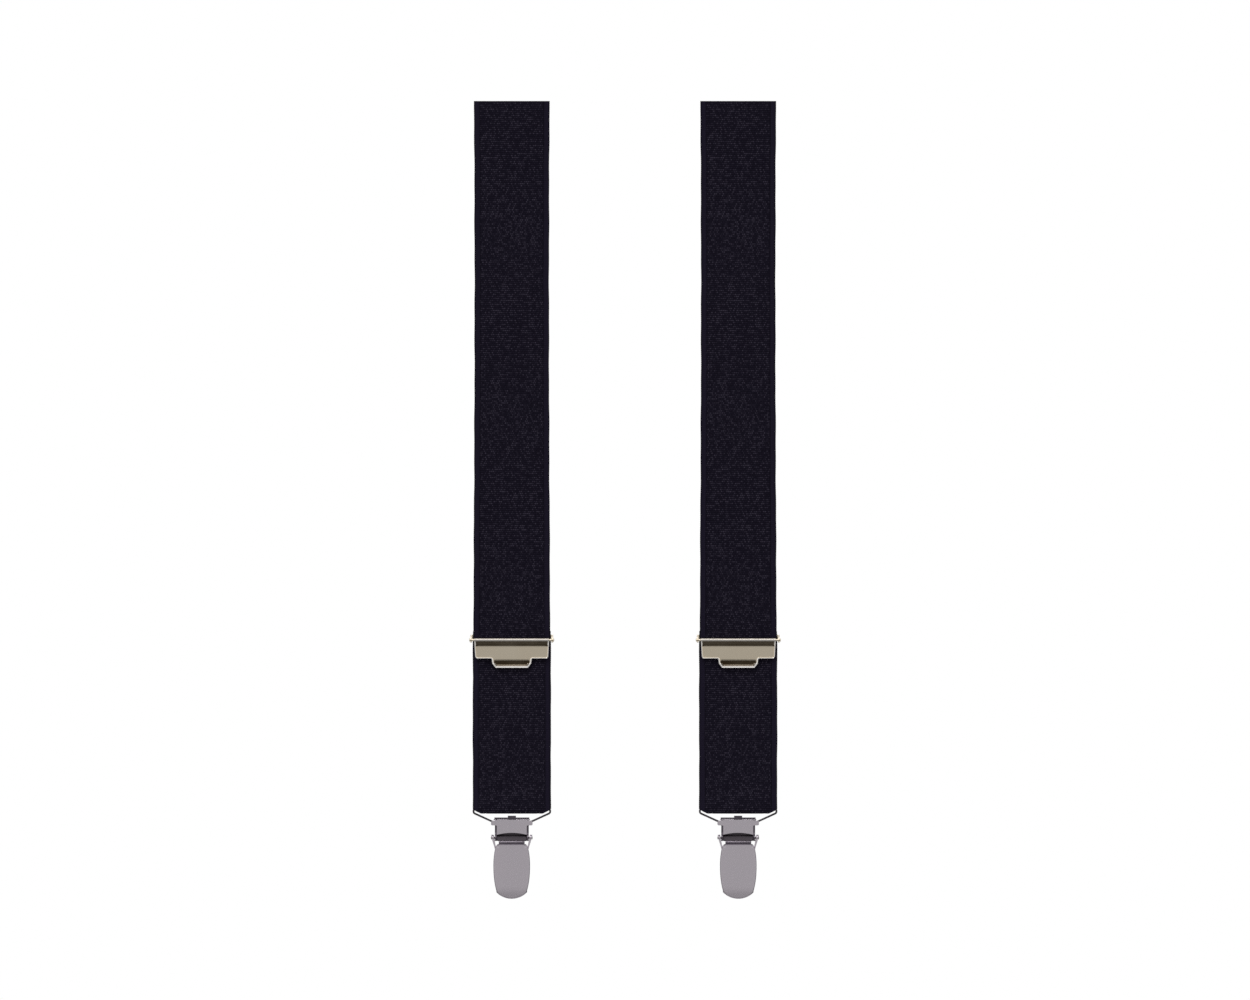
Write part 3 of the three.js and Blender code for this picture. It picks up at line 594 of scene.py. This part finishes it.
def webbing_strip(name, x, path, half_width, thickness, start=0.0):
    """Woven strip along a (y, z) path, and the weave's place at its end. half_width(z) may change; start is the
    weave's place at the path's first point, so that strips that meet share one run of ribs."""
    line, tangent, step = along_path(path, RIB_PITCH / 2)
    normal = np.stack([tangent[:, 1], -tangent[:, 0]], axis=1)
    profile = [(d * MM, drop * MM) for d, drop in FACE_PROFILE]
    inner = profile[-1][0]
    verts, weave, faces = [], [], []
    for i, ((y, z), (ny, nz)) in enumerate(zip(line, normal)):
        s = start + i * step
        wide = half_width(z)
        wave = 0.06 * MM * math.sin(s / (7.3 * MM)) + 0.05 * MM * math.sin(s / (2.9 * MM) + 1.3)
        wide += wave + 0.035 * MM * (-1) ** i
        across = [wide - d for d, _ in profile]
        drops = [drop for _, drop in profile]
        flat = np.linspace(wide - inner, -(wide - inner), 20)[1:-1]
        xs = across + list(flat) + [-a for a in reversed(across)]
        lows = drops + [0.0] * len(flat) + list(reversed(drops))
        up = [(a, thickness / 2 - low + ribs(a, wide, i)) for a, low in zip(xs, lows)]
        down = [(a, -(thickness / 2 - low + ribs(a, wide, i))) for a, low in zip(xs, lows)]
        section = [(wide, 0.0)] + up + [(-wide, 0.0)] + list(reversed(down))
        for a, off in section:
            verts.append((x + a, y + ny * off, z + nz * off))
            weave.append((a / MM, s / MM, max(0.0, wide - abs(a)) / MM))
    rows, ring = len(line), len(section)
    for i in range(rows - 1):
        for k in range(ring):
            m = (k + 1) % ring
            faces.append((i * ring + k, i * ring + m, (i + 1) * ring + m, (i + 1) * ring + k))
    faces.append(tuple(range(ring)))
    faces.append(tuple(range((rows - 1) * ring, rows * ring)))
    obj = make_object(name, verts, faces, "webbing", sharp=70)
    place = obj.data.attributes.new("weave", "FLOAT_VECTOR", "POINT")
    place.data.foreach_set("vector", np.array(weave, np.float32).ravel())
    return obj, start + (rows - 1) * step


def ribs(across, wide, i):
    """Height of a rib at one place: full in the middle, less on the selvedge."""
    share = 0.4 if wide - abs(across) < SELVEDGE else 1.0
    return share * RIB_HEIGHT * (-1) ** i


def build_webbing(side):
    low, high = node_size(side, "webbing_upper")
    x = (low.x + high.x) / 2
    thickness = high.y - low.y
    narrow = (high.x - low.x) / 2
    fold_low, fold_high = node_size(side, "webbing_fold")
    pinched = (fold_high.x - fold_low.x) / 2
    radius = (fold_high.y - fold_low.y - thickness) / 2
    centre = (radius, fold_high.z)
    back_low, back_high = node_size(side, "webbing_return_run")
    back_y = (back_low.y + back_high.y) / 2
    slack = (back_high.x - back_low.x) / 2
    sewn_low, sewn_high = node_size(side, "webbing_sewn_end")
    pin_low, pin_high = node_size(side, "adjuster_pin")
    pivot_z = (pin_low.z + pin_high.z) / 2
    split_z = centre[1] + FRONT_RETURN

    def front_width(z):
        """Stretched above the adjuster, slack below it, drawn in between the wire's legs at the fold."""
        width = narrow - WAIST * math.sin(math.pi * min(1.0, (WAIST_TOP - z) / WAIST_LENGTH))
        width += (slack - width) * smooth_step((pivot_z + SLACK_EASE / 2 - z) / SLACK_EASE)
        depth = centre[1] - z
        width += (pinched - width) * smooth_step((depth - PINCH_START) / PINCH_LENGTH)
        low = depth * (radius + thickness / 2) / radius - (radius + thickness / 2 - CORNER_HEIGHT)
        return width - max(0.0, low) * CORNER_WIDTH / CORNER_HEIGHT

    bend = [
        (centre[0] - radius * math.cos(math.radians(a)), centre[1] - radius * math.sin(math.radians(a)))
        for a in range(0, 181, 6)
    ]
    front_path = [(0.0, high.z), *bend, (back_y, split_z)]
    front, at = webbing_strip(f"{side}_webbing_front", x, front_path, front_width, thickness)
    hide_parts(f"{side}_webbing_upper", f"{side}_webbing_front_run", f"{side}_webbing_fold")
    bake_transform(front)

    seam_z = back_high.z
    back, at = webbing_strip(
        f"{side}_webbing_return", x, [(back_y, split_z), (back_y, seam_z)], lambda z: slack, thickness, at
    )
    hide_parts(f"{side}_webbing_return_run")
    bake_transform(back)

    front_leg = sewn_low.y + thickness / 2
    wrap = (back_y - front_leg) / 2
    top = sewn_high.z - wrap - thickness / 2
    over = [
        (front_leg + wrap + wrap * math.cos(math.radians(a)), top + wrap * math.sin(math.radians(a)))
        for a in range(0, 181, 9)
    ]
    route = [(back_y, seam_z), *over, (front_leg, sewn_low.z)]
    sewn, end = webbing_strip(f"{side}_webbing_end", x, route, lambda z: slack, thickness, at)
    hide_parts(f"{side}_webbing_sewn_end")
    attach(sewn, f"{side}_adjuster")
    build_stitches(side, x, slack, back_y + thickness / 2, seam_z)


def build_stitches(side, x, half_width, y, seam_z):
    """Two rows of lockstitches across the back."""
    count = int((2 * half_width - 2 * STITCH_MARGIN) / (STITCH + STITCH_GAP))
    threads = []
    for row in STITCH_ROWS:
        z = seam_z + row
        for k in range(count):
            middle = x + (k - (count - 1) / 2) * (STITCH + STITCH_GAP)
            threads.append(capsule((middle - STITCH / 2, y, z), (middle + STITCH / 2, y, z), THREAD))
    obj = make_object(f"{side}_stitches", *merged(*threads), "thread", sharp=80)
    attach(obj, f"{side}_adjuster")


def capsule(a, b, radius, steps=8):
    """A short thread from a to b that dips into the cloth at both ends."""
    a, b = Vector(a), Vector(b)
    verts, faces = [], []
    count = 7
    for i in range(count):
        t = i / (count - 1)
        centre = a.lerp(b, t)
        centre.y += radius * (0.9 - 1.6 * (1 - (2 * t - 1) ** 4))
        size = radius * math.sqrt(max(0.08, 1 - (2 * t - 1) ** 6))
        for k in range(steps):
            angle = 2 * math.pi * k / steps
            verts.append((centre.x, centre.y + size * math.cos(angle), centre.z + size * math.sin(angle)))
    for i in range(count - 1):
        for k in range(steps):
            m = (k + 1) % steps
            faces.append((i * steps + k, i * steps + m, (i + 1) * steps + m, (i + 1) * steps + k))
    faces.append(tuple(range(steps)))
    faces.append(tuple(range((count - 1) * steps, count * steps)))
    return verts, faces


# ------------------------------------------------------------------ adjuster
def build_flap(side):
    """A pressed tray: a roll round the pivot pin, a sloping band under it painted dark (painted shade), a flat plate
    with a raised rim that gets a painted highlight, and a finger tab whose inside is scooped back and painted dark
    (painted shade)."""
    low, high = node_size(side, "adjuster_flap")
    pin_low, pin_high = node_size(side, "adjuster_pin")
    x = (low.x + high.x) / 2
    pivot = ((pin_low.y + pin_high.y) / 2, (pin_low.z + pin_high.z) / 2)
    roll = high.z - pivot[1]
    top = pivot[1] + 0.1 * MM
    bottom = low.z + TAB_HEIGHT
    wide = (high.x - low.x) / 2
    tab_turn = low.z + TAB_CORNER
    corners = [
        (-wide, top), (-wide + FLAP_LEAN, bottom), (-TAB_HALF, bottom), (-TAB_HALF + TAB_LEAN, tab_turn),
        (-TAB_LOW_HALF, low.z), (TAB_LOW_HALF, low.z), (TAB_HALF - TAB_LEAN, tab_turn), (TAB_HALF, bottom),
        (wide - FLAP_LEAN, bottom), (wide, top),
    ]
    radii = [r * MM for r in (0.05, 1.1, 0.6, 0.5, 0.5, 0.5, 0.5, 0.6, 1.1, 0.05)]
    outer = rounded(corners, radii)
    roll_front = pivot[0] - roll
    cove_top = pivot[1] - 0.35 * MM
    cove_low = cove_top - COVE_HEIGHT
    scoop_top, scoop_low = bottom - 0.75 * MM, low.z + TAB_RIM - 0.4 * MM

    def rim_width(pz):
        """The raised edge is wider along the bottom of the tab."""
        return RIM_WIDTH + (TAB_RIM - RIM_WIDTH) * smooth_step((bottom - 1.4 * MM - pz) / (1.2 * MM))

    def inside_tab(px, pz):
        slope = (tab_turn - pz) * 0.75 if pz < tab_turn else 0.0
        side_gap = (TAB_HALF - TAB_LEAN - max(0.0, slope) - abs(px)) if pz < bottom else 1.0
        return side_gap - RIM_WIDTH

    def shape(px, pz):
        """How far back from the roll's front a place on the tray lies, and how much painted shade it gets."""
        if pz > cove_top:
            return CREST, 0.0
        slope = min(1.0, (cove_top - pz) / (cove_top - cove_low))
        # painted shade: the band under the roll, strongest near its foot, and the tab's scoop
        shade_share = smooth_step((cove_top - pz) / (0.25 * MM)) * smooth_step((pz - cove_low) / (0.12 * MM))
        shade_share *= 0.87 + 0.2 * smooth_step((cove_low + 0.55 * MM - pz) / (0.2 * MM))
        depth = CREST + (COVE_DEPTH - CREST) * slope
        if pz < scoop_top and inside_tab(px, pz) > 0:
            fall = min(1.0, (scoop_top - pz) / (scoop_top - scoop_low))
            ease = smooth_step(inside_tab(px, pz) / (0.35 * MM)) * smooth_step((pz - scoop_low) / (0.4 * MM))
            depth += ease * (0.25 * MM + 0.55 * MM * fall)
            shade_share = max(shade_share, ease)
        return depth, shade_share

    def height(px, pz, edge):
        depth, _ = shape(px - x, pz)
        width = rim_width(pz)
        rim = 1 - smooth_step((edge - width + 0.22 * MM) / (0.22 * MM))
        rim_depth = COVE_DEPTH - RIM_HEIGHT if pz < bottom + RIM_WIDTH else 0.12 * MM
        if pz < bottom:
            rim_depth += TAB_SLOPE * min(edge, width)
        depth += (min(depth, rim_depth) - depth) * rim
        round_over = 0.15 * MM * (1 - min(1.0, edge / (0.15 * MM))) ** 2
        return roll_front + depth + round_over

    # painted shade on the front of the tray, kept off the rim
    def shade_share_at(px, pz, edge):
        _, shade_share = shape(px - x, pz)
        return shade_share * smooth_step((edge - rim_width(pz) + 0.25 * MM) / (0.3 * MM)) if pz < cove_top else 0.0

    shifted = [[(px + x, pz) for px, pz in outer]]
    plate = sheet_plate(shifted, height, FLAP_SHEET)
    edges = np.maximum(edge_distance([(v[0], v[2]) for v in plate[0]], [resample(shifted[0], PLATE_STEP)]), 0)
    half_count = len(plate[0]) // 2
    # painted shade on the front and a little on the back; painted highlight along the rim
    shade_share = [shade_share_at(v[0], v[2], e) if i < half_count else 0.3 for i, (v, e) in enumerate(zip(plate[0], edges))]
    highlight_share = [
        1 - smooth_step((e - rim_width(v[2]) + 0.15 * MM) / (0.2 * MM)) if i < half_count else 0.0
        for i, (v, e) in enumerate(zip(plate[0], edges))
    ]
    curl = tube(x - wide, x + wide, pivot, roll, roll - CURL_SHEET, 48)
    teeth = [tooth(x + (k - (TEETH - 1) / 2) * TOOTH_PITCH, pivot) for k in range(TEETH)]
    verts, faces = merged(plate, curl, *teeth)
    # the roll: painted shade, stronger on its upper half, and a painted highlight all over
    shade_share += [0.32 + 0.55 * smooth_step((v[2] - pivot[1] - 0.3 * MM) / (0.4 * MM)) for v in curl[0]]
    highlight_share += [0.7] * len(curl[0])
    shade_share += [0.0] * (len(verts) - len(shade_share))
    highlight_share += [0.0] * (len(verts) - len(highlight_share))
    obj = make_object(f"{side}_flap_tray", verts, faces, "nickel", sharp=38, tarnish=shade_share, wear=highlight_share)
    finish_metal(obj, f"{side}_flap", "adjuster_metal", f"{side}_adjuster_flap")


def tooth(middle, pivot):
    """A small wedge that bites the webbing, standing on the back of the flap's curl."""
    half, root, tip = 0.55 * MM, pivot[0] + 0.85 * MM, pivot[0] + 1.43 * MM
    verts = [
        (middle - half, root, pivot[1] - 0.4 * MM), (middle + half, root, pivot[1] - 0.4 * MM),
        (middle + half, root, pivot[1] + 0.4 * MM), (middle - half, root, pivot[1] + 0.4 * MM),
        (middle - half * 0.5, tip, pivot[1]), (middle + half * 0.5, tip, pivot[1]),
    ]
    faces = [(3, 2, 1, 0), (0, 1, 5, 4), (2, 3, 4, 5), (1, 2, 5), (3, 0, 4)]
    return verts, faces


def finish_metal(obj, body, slot, *nodes):
    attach(obj, body)
    if nodes:
        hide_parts(*nodes)


def build_adjuster(side):
    build_flap(side)
    body = f"{side}_adjuster"
    obj = refined(f"{side}_adjuster_frame", f"{side}_frame_plate", "nickel", 0.14 * MM)
    finish_metal(obj, body, "adjuster_metal", f"{side}_adjuster_frame")
    low, high = node_size(side, "adjuster_pin")
    centre = ((low.x + high.x) / 2, (low.y + high.y) / 2, (low.z + high.z) / 2)
    end = (high.x - low.x) / 2
    head, inside = (high.z - low.z) / 2, end - PIN_DOME - 0.01 * MM
    dome = [(end - PIN_DOME * (1 - math.sin(a)), head * math.cos(a)) for a in np.linspace(0, 1.5, 7)]
    right = [(inside, PIN_SHANK), (inside, head), *dome[1:], (end, 0.02 * MM)]
    left = [(-px, r) for px, r in reversed(right)]
    verts, faces = lathe(left + right, centre)
    obj = make_object(f"{side}_pivot_pin", verts, faces, "nickel", sharp=35)
    finish_metal(obj, body, "adjuster_metal", f"{side}_adjuster_pin")


# ------------------------------------------------------------------ wire loop
def build_loop(side):
    low, high = node_size(side, "wire_loop")
    x, y = (low.x + high.x) / 2, (low.y + high.y) / 2
    radius = (high.y - low.y) / 2
    edge = (high.x - low.x) / 2 - radius
    bar, foot = high.z - radius, low.z + radius
    corners = [(WIRE_GAP, foot), (WIRE_MOUTH, foot), (edge, bar - WIRE_RISE), (edge, bar)]
    corners += [(-px, pz) for px, pz in reversed(corners)]
    points = [Vector(corners[0])]
    for i in range(1, len(corners) - 1):
        here = Vector(corners[i])
        start = here + (Vector(corners[i - 1]) - here).normalized() * WIRE_BEND
        end = here + (Vector(corners[i + 1]) - here).normalized() * WIRE_BEND
        for k in range(9):
            t = k / 8
            points.append((1 - t) ** 2 * start + 2 * t * (1 - t) * here + t * t * end)
    points.append(Vector(corners[-1]))
    curve = bpy.data.curves.new(f"{side}_loop_wire", "CURVE")
    curve.dimensions = "3D"
    curve.bevel_depth = radius
    curve.bevel_resolution = 5
    curve.use_fill_caps = True
    spline = curve.splines.new("POLY")
    spline.points.add(len(points) - 1)
    for point, p in zip(spline.points, points):
        point.co = (x + p.x, y, p.y, 1)
    curve.materials.append(LOOKS["wire"])
    obj = bpy.data.objects.new(f"{side}_loop_wire", curve)
    bpy.context.scene.collection.objects.link(obj)
    finish_metal(obj, f"{side}_loop", "wire", f"{side}_wire_loop")


# ------------------------------------------------------------------ clip
def sideways(part):
    """A plate built across the strap, turned to stand front to back: its x becomes y, and its y becomes x."""
    verts, faces = part
    return [(v[1], v[0], v[2]) for v in verts], faces


def lever_outline(top, low_z):
    """The lever's plate from the front: cut upper corners, bulging sides and a round tip."""
    corner, steps = LEVER_CORNER, 22
    shoulder = low_z + LEVER_ROUND
    right = [(LEVER_TOP_HALF - corner, top), (LEVER_TOP_HALF, top - corner)]
    right += [(bulge(k / steps), top - corner + (shoulder - top + corner) * (k / steps)) for k in range(1, steps)]
    sag = shoulder - low_z
    radius = (LEVER_TIP_HALF * LEVER_TIP_HALF + sag * sag) / (2 * sag)
    spread = math.degrees(math.asin(LEVER_TIP_HALF / radius))
    round_tip = arc((0, low_z + radius), radius, -90 + spread, -90 - spread, 24)
    left = [(-px, pz) for px, pz in reversed(right)]
    return right + round_tip + left


def bulge(t):
    """Half width of the lever from its upper corner (0) to its shoulder (1)."""
    start, end = LEVER_TOP_HALF, LEVER_TIP_HALF
    straight = start + (end - start) * t
    return straight + (LEVER_HALF - (start + end) / 2) * (1 - abs(2 * t - 1) ** 2.3)


def build_lever(side):
    low, high = node_size(side, "clip_lever")
    pin_low, pin_high = node_size(side, "clip_rivet_2")
    pivot = ((pin_low.y + pin_high.y) / 2, (pin_low.z + pin_high.z) / 2)
    x, front = (low.x + high.x) / 2, low.y
    top = pivot[1] - LEVER_TOP
    outline = [(px + x, pz) for px, pz in lever_outline(top, low.z)]
    arch = (LEVER_HALF**2 + LEVER_CROWN**2) / (2 * LEVER_CROWN)  # radius of the crown

    def height(px, pz, edge):
        across = px - x
        crown = arch - math.sqrt(arch * arch - across * across)
        tip = 0.46 * MM * smooth_step((low.z + 6 * MM - pz) / (7 * MM)) ** 1.5
        lip = (0.1 if pz > top - 0.8 * MM else 0.32) * MM * (1 - min(1.0, edge / (0.42 * MM))) ** 2
        dent = math.exp(-(((abs(across) - 6.3 * MM) / (0.5 * MM)) ** 2) - ((pz - top + 1.0 * MM) / (0.45 * MM)) ** 2)
        return front + crown + tip + lip + 0.16 * MM * dent

    plate = sheet_plate([outline], height, LEVER_SHEET)
    edges = np.maximum(edge_distance([(v[0], v[2]) for v in plate[0]], [resample(outline, PLATE_STEP)]), 0)
    half_count = len(plate[0]) // 2
    # painted shade: the plate's top edge, its back, and a band along its rolled sides and tip
    shade_share = []
    for i, (v, e) in enumerate(zip(plate[0], edges)):
        if v[2] > top - 0.28 * MM:
            shade_share.append(1.0)
        elif i >= half_count:
            shade_share.append(0.5)
        else:
            shade_share.append(0.9 * (1 - smooth_step((e - 0.2 * MM) / (0.25 * MM))) if v[2] < top - 1.2 * MM else 0.0)
    ears = [lever_ear(x, pivot, front, sign) for sign in (-1, 1)]
    roll, web = lever_cam(x, pivot, front)
    verts, faces = merged(plate, *ears, roll, web)
    # painted shade: darker up the ears, on the cam's lower side, and all over the web between cam and plate
    shade_share += [0.55 * smooth_step((v[2] - pivot[1] + 0.2 * MM) / MM) for ear in ears for v in ear[0]]
    shade_share += [0.35 if v[2] > pivot[1] - 1.75 * MM else 1.0 for v in roll[0]]
    shade_share += [1.0] * len(web[0])
    obj = make_object(f"{side}_lever_shell", verts, faces, "steel", sharp=36, tarnish=shade_share)
    finish_metal(obj, f"{side}_lever", "clip_metal", f"{side}_clip_lever")


def lever_ear(x, pivot, front, sign):
    """One ear: round about the rivet, narrowing down to the plate's upper corner, leaning in as it goes."""
    round_top = arc(pivot, EAR_RADIUS, -20, 200, 20)
    foot_z = pivot[1] - EAR_LENGTH
    face = front + LEVER_CROWN * 0.72
    outline = round_top + [(face, foot_z + 1.2 * MM), (face + 0.1 * MM, foot_z), (face + 0.8 * MM, foot_z)]
    hole = arc(pivot, EAR_HOLE, 0, 342, 19)

    def height(py, pz, edge):
        round_over = 0.1 * MM * (1 - min(1.0, edge / (0.12 * MM))) ** 2
        return EAR_INNER + EAR_LEAN * (pz - pivot[1]) + round_over

    def thickness(py, pz, edge):
        sheet = EAR_FOOT_SHEET + EAR_EXTRA_SHEET * smooth_step((pz - foot_z) / (pivot[1] - foot_z))
        return sheet - 0.3 * MM * (1 - min(1.0, edge / (0.2 * MM))) ** 2

    verts, faces = sideways(sheet_plate([outline, hole], height, thickness, 0.22 * MM, (0.05, 0.12, 0.22, 0.35)))
    return [(x + sign * v[0], v[1], v[2]) for v in verts], faces


def lever_cam(x, pivot, front):
    """The rolled upper edge that bears on the jaw, and the sheet between it and the plate."""
    half, radius = CAM_HALF, CAM_RADIUS
    axis = (pivot[0] - CAM_BACK, pivot[1] - CAM_DROP)
    ends = [(-half, 0.02 * MM), (-half, radius - 0.15 * MM), (-half + 0.05 * MM, radius - 0.05 * MM)]
    ends += [(-half + 0.15 * MM, radius)]
    profile = ends + [(-px, r) for px, r in reversed(ends)]
    roll = lathe(profile, (x, axis[0], axis[1]), 44)
    low, high = pivot[1] - 4.4 * MM, axis[1]
    back, face = axis[0] + 0.1 * MM, front + 0.5 * MM
    web_front = [(x - half, face, low), (x + half, face, low), (x + half, axis[0] - 0.6 * MM, high)]
    web_front += [(x - half, axis[0] - 0.6 * MM, high)]
    web_back = [(px, back, pz) for px, _, pz in web_front]
    faces = [(0, 1, 2, 3), (7, 6, 5, 4), (0, 4, 5, 1), (1, 5, 6, 2), (2, 6, 7, 3), (3, 7, 4, 0)]
    return roll, (web_front + web_back, faces)


def build_clip(side):
    build_lever(side)
    body = f"{side}_clip"
    low, high = node_size(side, "clip_body")
    middle, tab = (low.x + high.x) / 2, high.z

    def shade_share(at, normal):
        """Painted shade: the top edge, the flanges' cut edges and the inside of the back plate are painted dark."""
        if at.z > tab - TOP_BAND:
            return 1.0
        flange = abs(at.x - middle) > FLANGE_INNER and tab - WINDOW_LOW < at.z < tab - WINDOW_TOP
        inside = at.y > high.y - 1.0 * MM and at.z < tab - WINDOW_TOP
        return 1.0 if (flange or inside) and normal.y < -0.3 else 0.0

    cuts = [((middle, 0, tab - drop), (0, 0, 1)) for drop in BODY_CUTS]
    cuts += [((middle + sign * FLANGE_INNER, 0, tab), (1, 0, 0)) for sign in (-1, 1)]
    obj = refined(f"{side}_clip_body", f"{side}_clip_shell", "steel", 0.13 * MM, 32, cuts, shade_share)
    finish_metal(obj, body, "clip_metal", f"{side}_clip_body")
    # painted shade: the jaw takes the near-black steel
    obj = refined(f"{side}_clip_jaw", f"{side}_jaw_plate", "shade_dark_steel", 0.12 * MM)
    finish_metal(obj, f"{side}_jaw", "clip_metal", f"{side}_clip_jaw")
    for node, rides in (("clip_front_pad", "jaw"), ("clip_back_pad", "clip")):
        obj = refined(f"{side}_{node}", f"{side}_{node[5:]}", "pad", 0.06 * MM)
        finish_metal(obj, f"{side}_{rides}", "grip_pad", f"{side}_{node}")
    for k, sign in ((1, -1), (2, 1)):
        build_rivet(side, k, sign)


def build_rivet(side, k, sign):
    low, high = node_size(side, f"clip_rivet_{k}")
    length = high.x - low.x
    centre = (low.x if sign > 0 else high.x, (low.y + high.y) / 2, (low.z + high.z) / 2)
    head, neck = (high.z - low.z) / 2, length - RIVET_CAP
    profile = [(0, 0.02 * MM), (0, RIVET_SHANK), (neck, RIVET_SHANK), (neck, head)]
    for a in np.linspace(0.3, 1.55, 7):
        profile.append((neck + RIVET_CAP * math.sin(a) * 0.98, max(0.02 * MM, head * math.cos(a))))
    verts, faces = lathe([(sign * px, r) for px, r in profile], centre, 28)
    # painted shade: the rivets take the near-black wire metal, darkened further
    obj = make_object(f"{side}_rivet_{k}", verts, faces, "wire", sharp=35, tarnish=[0.6] * len(verts))
    finish_metal(obj, f"{side}_clip", "clip_metal", f"{side}_clip_rivet_{k}")


# ------------------------------------------------------------------ room, light and camera
def build_floor():
    verts, faces, steps = [], [], 8
    for i in range(steps + 1):
        for j in range(steps + 1):
            x, y = FLOOR_HALF * (2 * i / steps - 1), 0.8 * FLOOR_HALF * (2 * j / steps - 1)
            verts.append((x, y, cad_low.z - FLOOR_DROP))
    for i in range(steps):
        for j in range(steps):
            a = i * (steps + 1) + j
            faces.append((a, a + 1, a + steps + 2, a + steps + 1))
    mesh = bpy.data.meshes.new("floor")
    mesh.from_pydata(verts, [], faces)
    mesh.materials.append(floor_material())
    obj = bpy.data.objects.new("floor", mesh)
    bpy.context.scene.collection.objects.link(obj)


def build_world():
    """A soft studio: dark below, an even grey at eye level, brighter above and to the sides. What the camera
    sees directly is a white backdrop."""
    world = bpy.data.worlds.new("studio")
    bpy.context.scene.world = world
    n = Nodes(world, "ShaderNodeOutputWorld")

    def levels(value, stops):
        return n.ramp(value, [(place, (level, level, level)) for place, level in stops], "EASE")

    split = n.add("ShaderNodeSeparateXYZ")
    n.link(n.add("ShaderNodeTexCoord").outputs["Generated"], split.inputs[0])
    upward = n.math("ADD", n.math("MULTIPLY", split.outputs["Z"], 0.5), 0.5)
    level = levels(upward, [(0.0, 0.12), (0.22, 0.16), (0.44, 0.50), (0.60, 0.54), (0.80, 0.88)])
    lift = levels(n.math("ABSOLUTE", split.outputs["X"]), [(0.0, 0.0), (0.5, 0.0), (0.85, 0.6)])
    light = n.mix(1.0, level, n.mix(1.0, lift, level, "MULTIPLY"), "ADD")
    room, backdrop = n.add("ShaderNodeBackground"), n.add("ShaderNodeBackground")
    n.link(light, room.inputs["Color"])
    backdrop.inputs["Color"].default_value = (1, 1, 1, 1)
    choose = n.add("ShaderNodeMixShader")
    n.link(n.add("ShaderNodeLightPath").outputs["Is Camera Ray"], choose.inputs[0])
    n.link(room.outputs[0], choose.inputs[1])
    n.link(backdrop.outputs[0], choose.inputs[2])
    n.link(choose.outputs[0], n.output.inputs[0])


def area_light(name, place, target, size, power):
    data = bpy.data.lights.new(name, "AREA")
    data.shape = "RECTANGLE"
    data.size, data.size_y = size
    data.energy = power
    obj = bpy.data.objects.new(name, data)
    obj.location = place
    obj.rotation_euler = (Vector(target) - Vector(place)).to_track_quat("-Z", "Y").to_euler()
    bpy.context.scene.collection.objects.link(obj)


def build_lights():
    middle = (0, 0, -CAMERA_DROP)
    area_light("front_softbox", (-0.3, -1.3, 1.3), middle, (1.6, 0.8), 11)
    area_light("back_softbox", (0.3, 1.3, 1.3), middle, (1.6, 0.8), 11)


def build_camera():
    data = bpy.data.cameras.new("camera")
    data.sensor_width = SENSOR_WIDTH
    data.lens = data.sensor_width * CAMERA_DISTANCE / FRAME_WIDTH
    data.clip_end = 20
    obj = bpy.data.objects.new("camera", data)
    obj.location = (0, -CAMERA_DISTANCE, -CAMERA_DROP)
    obj.rotation_euler = (math.radians(90), 0, 0)
    bpy.context.scene.collection.objects.link(obj)
    bpy.context.scene.camera = obj
    bpy.context.scene.view_settings.view_transform = "Standard"


build_camera()
build_world()
build_lights()
build_floor()
for each in SIDES:
    build_webbing(each)
    build_adjuster(each)
    build_loop(each)
    build_clip(each)
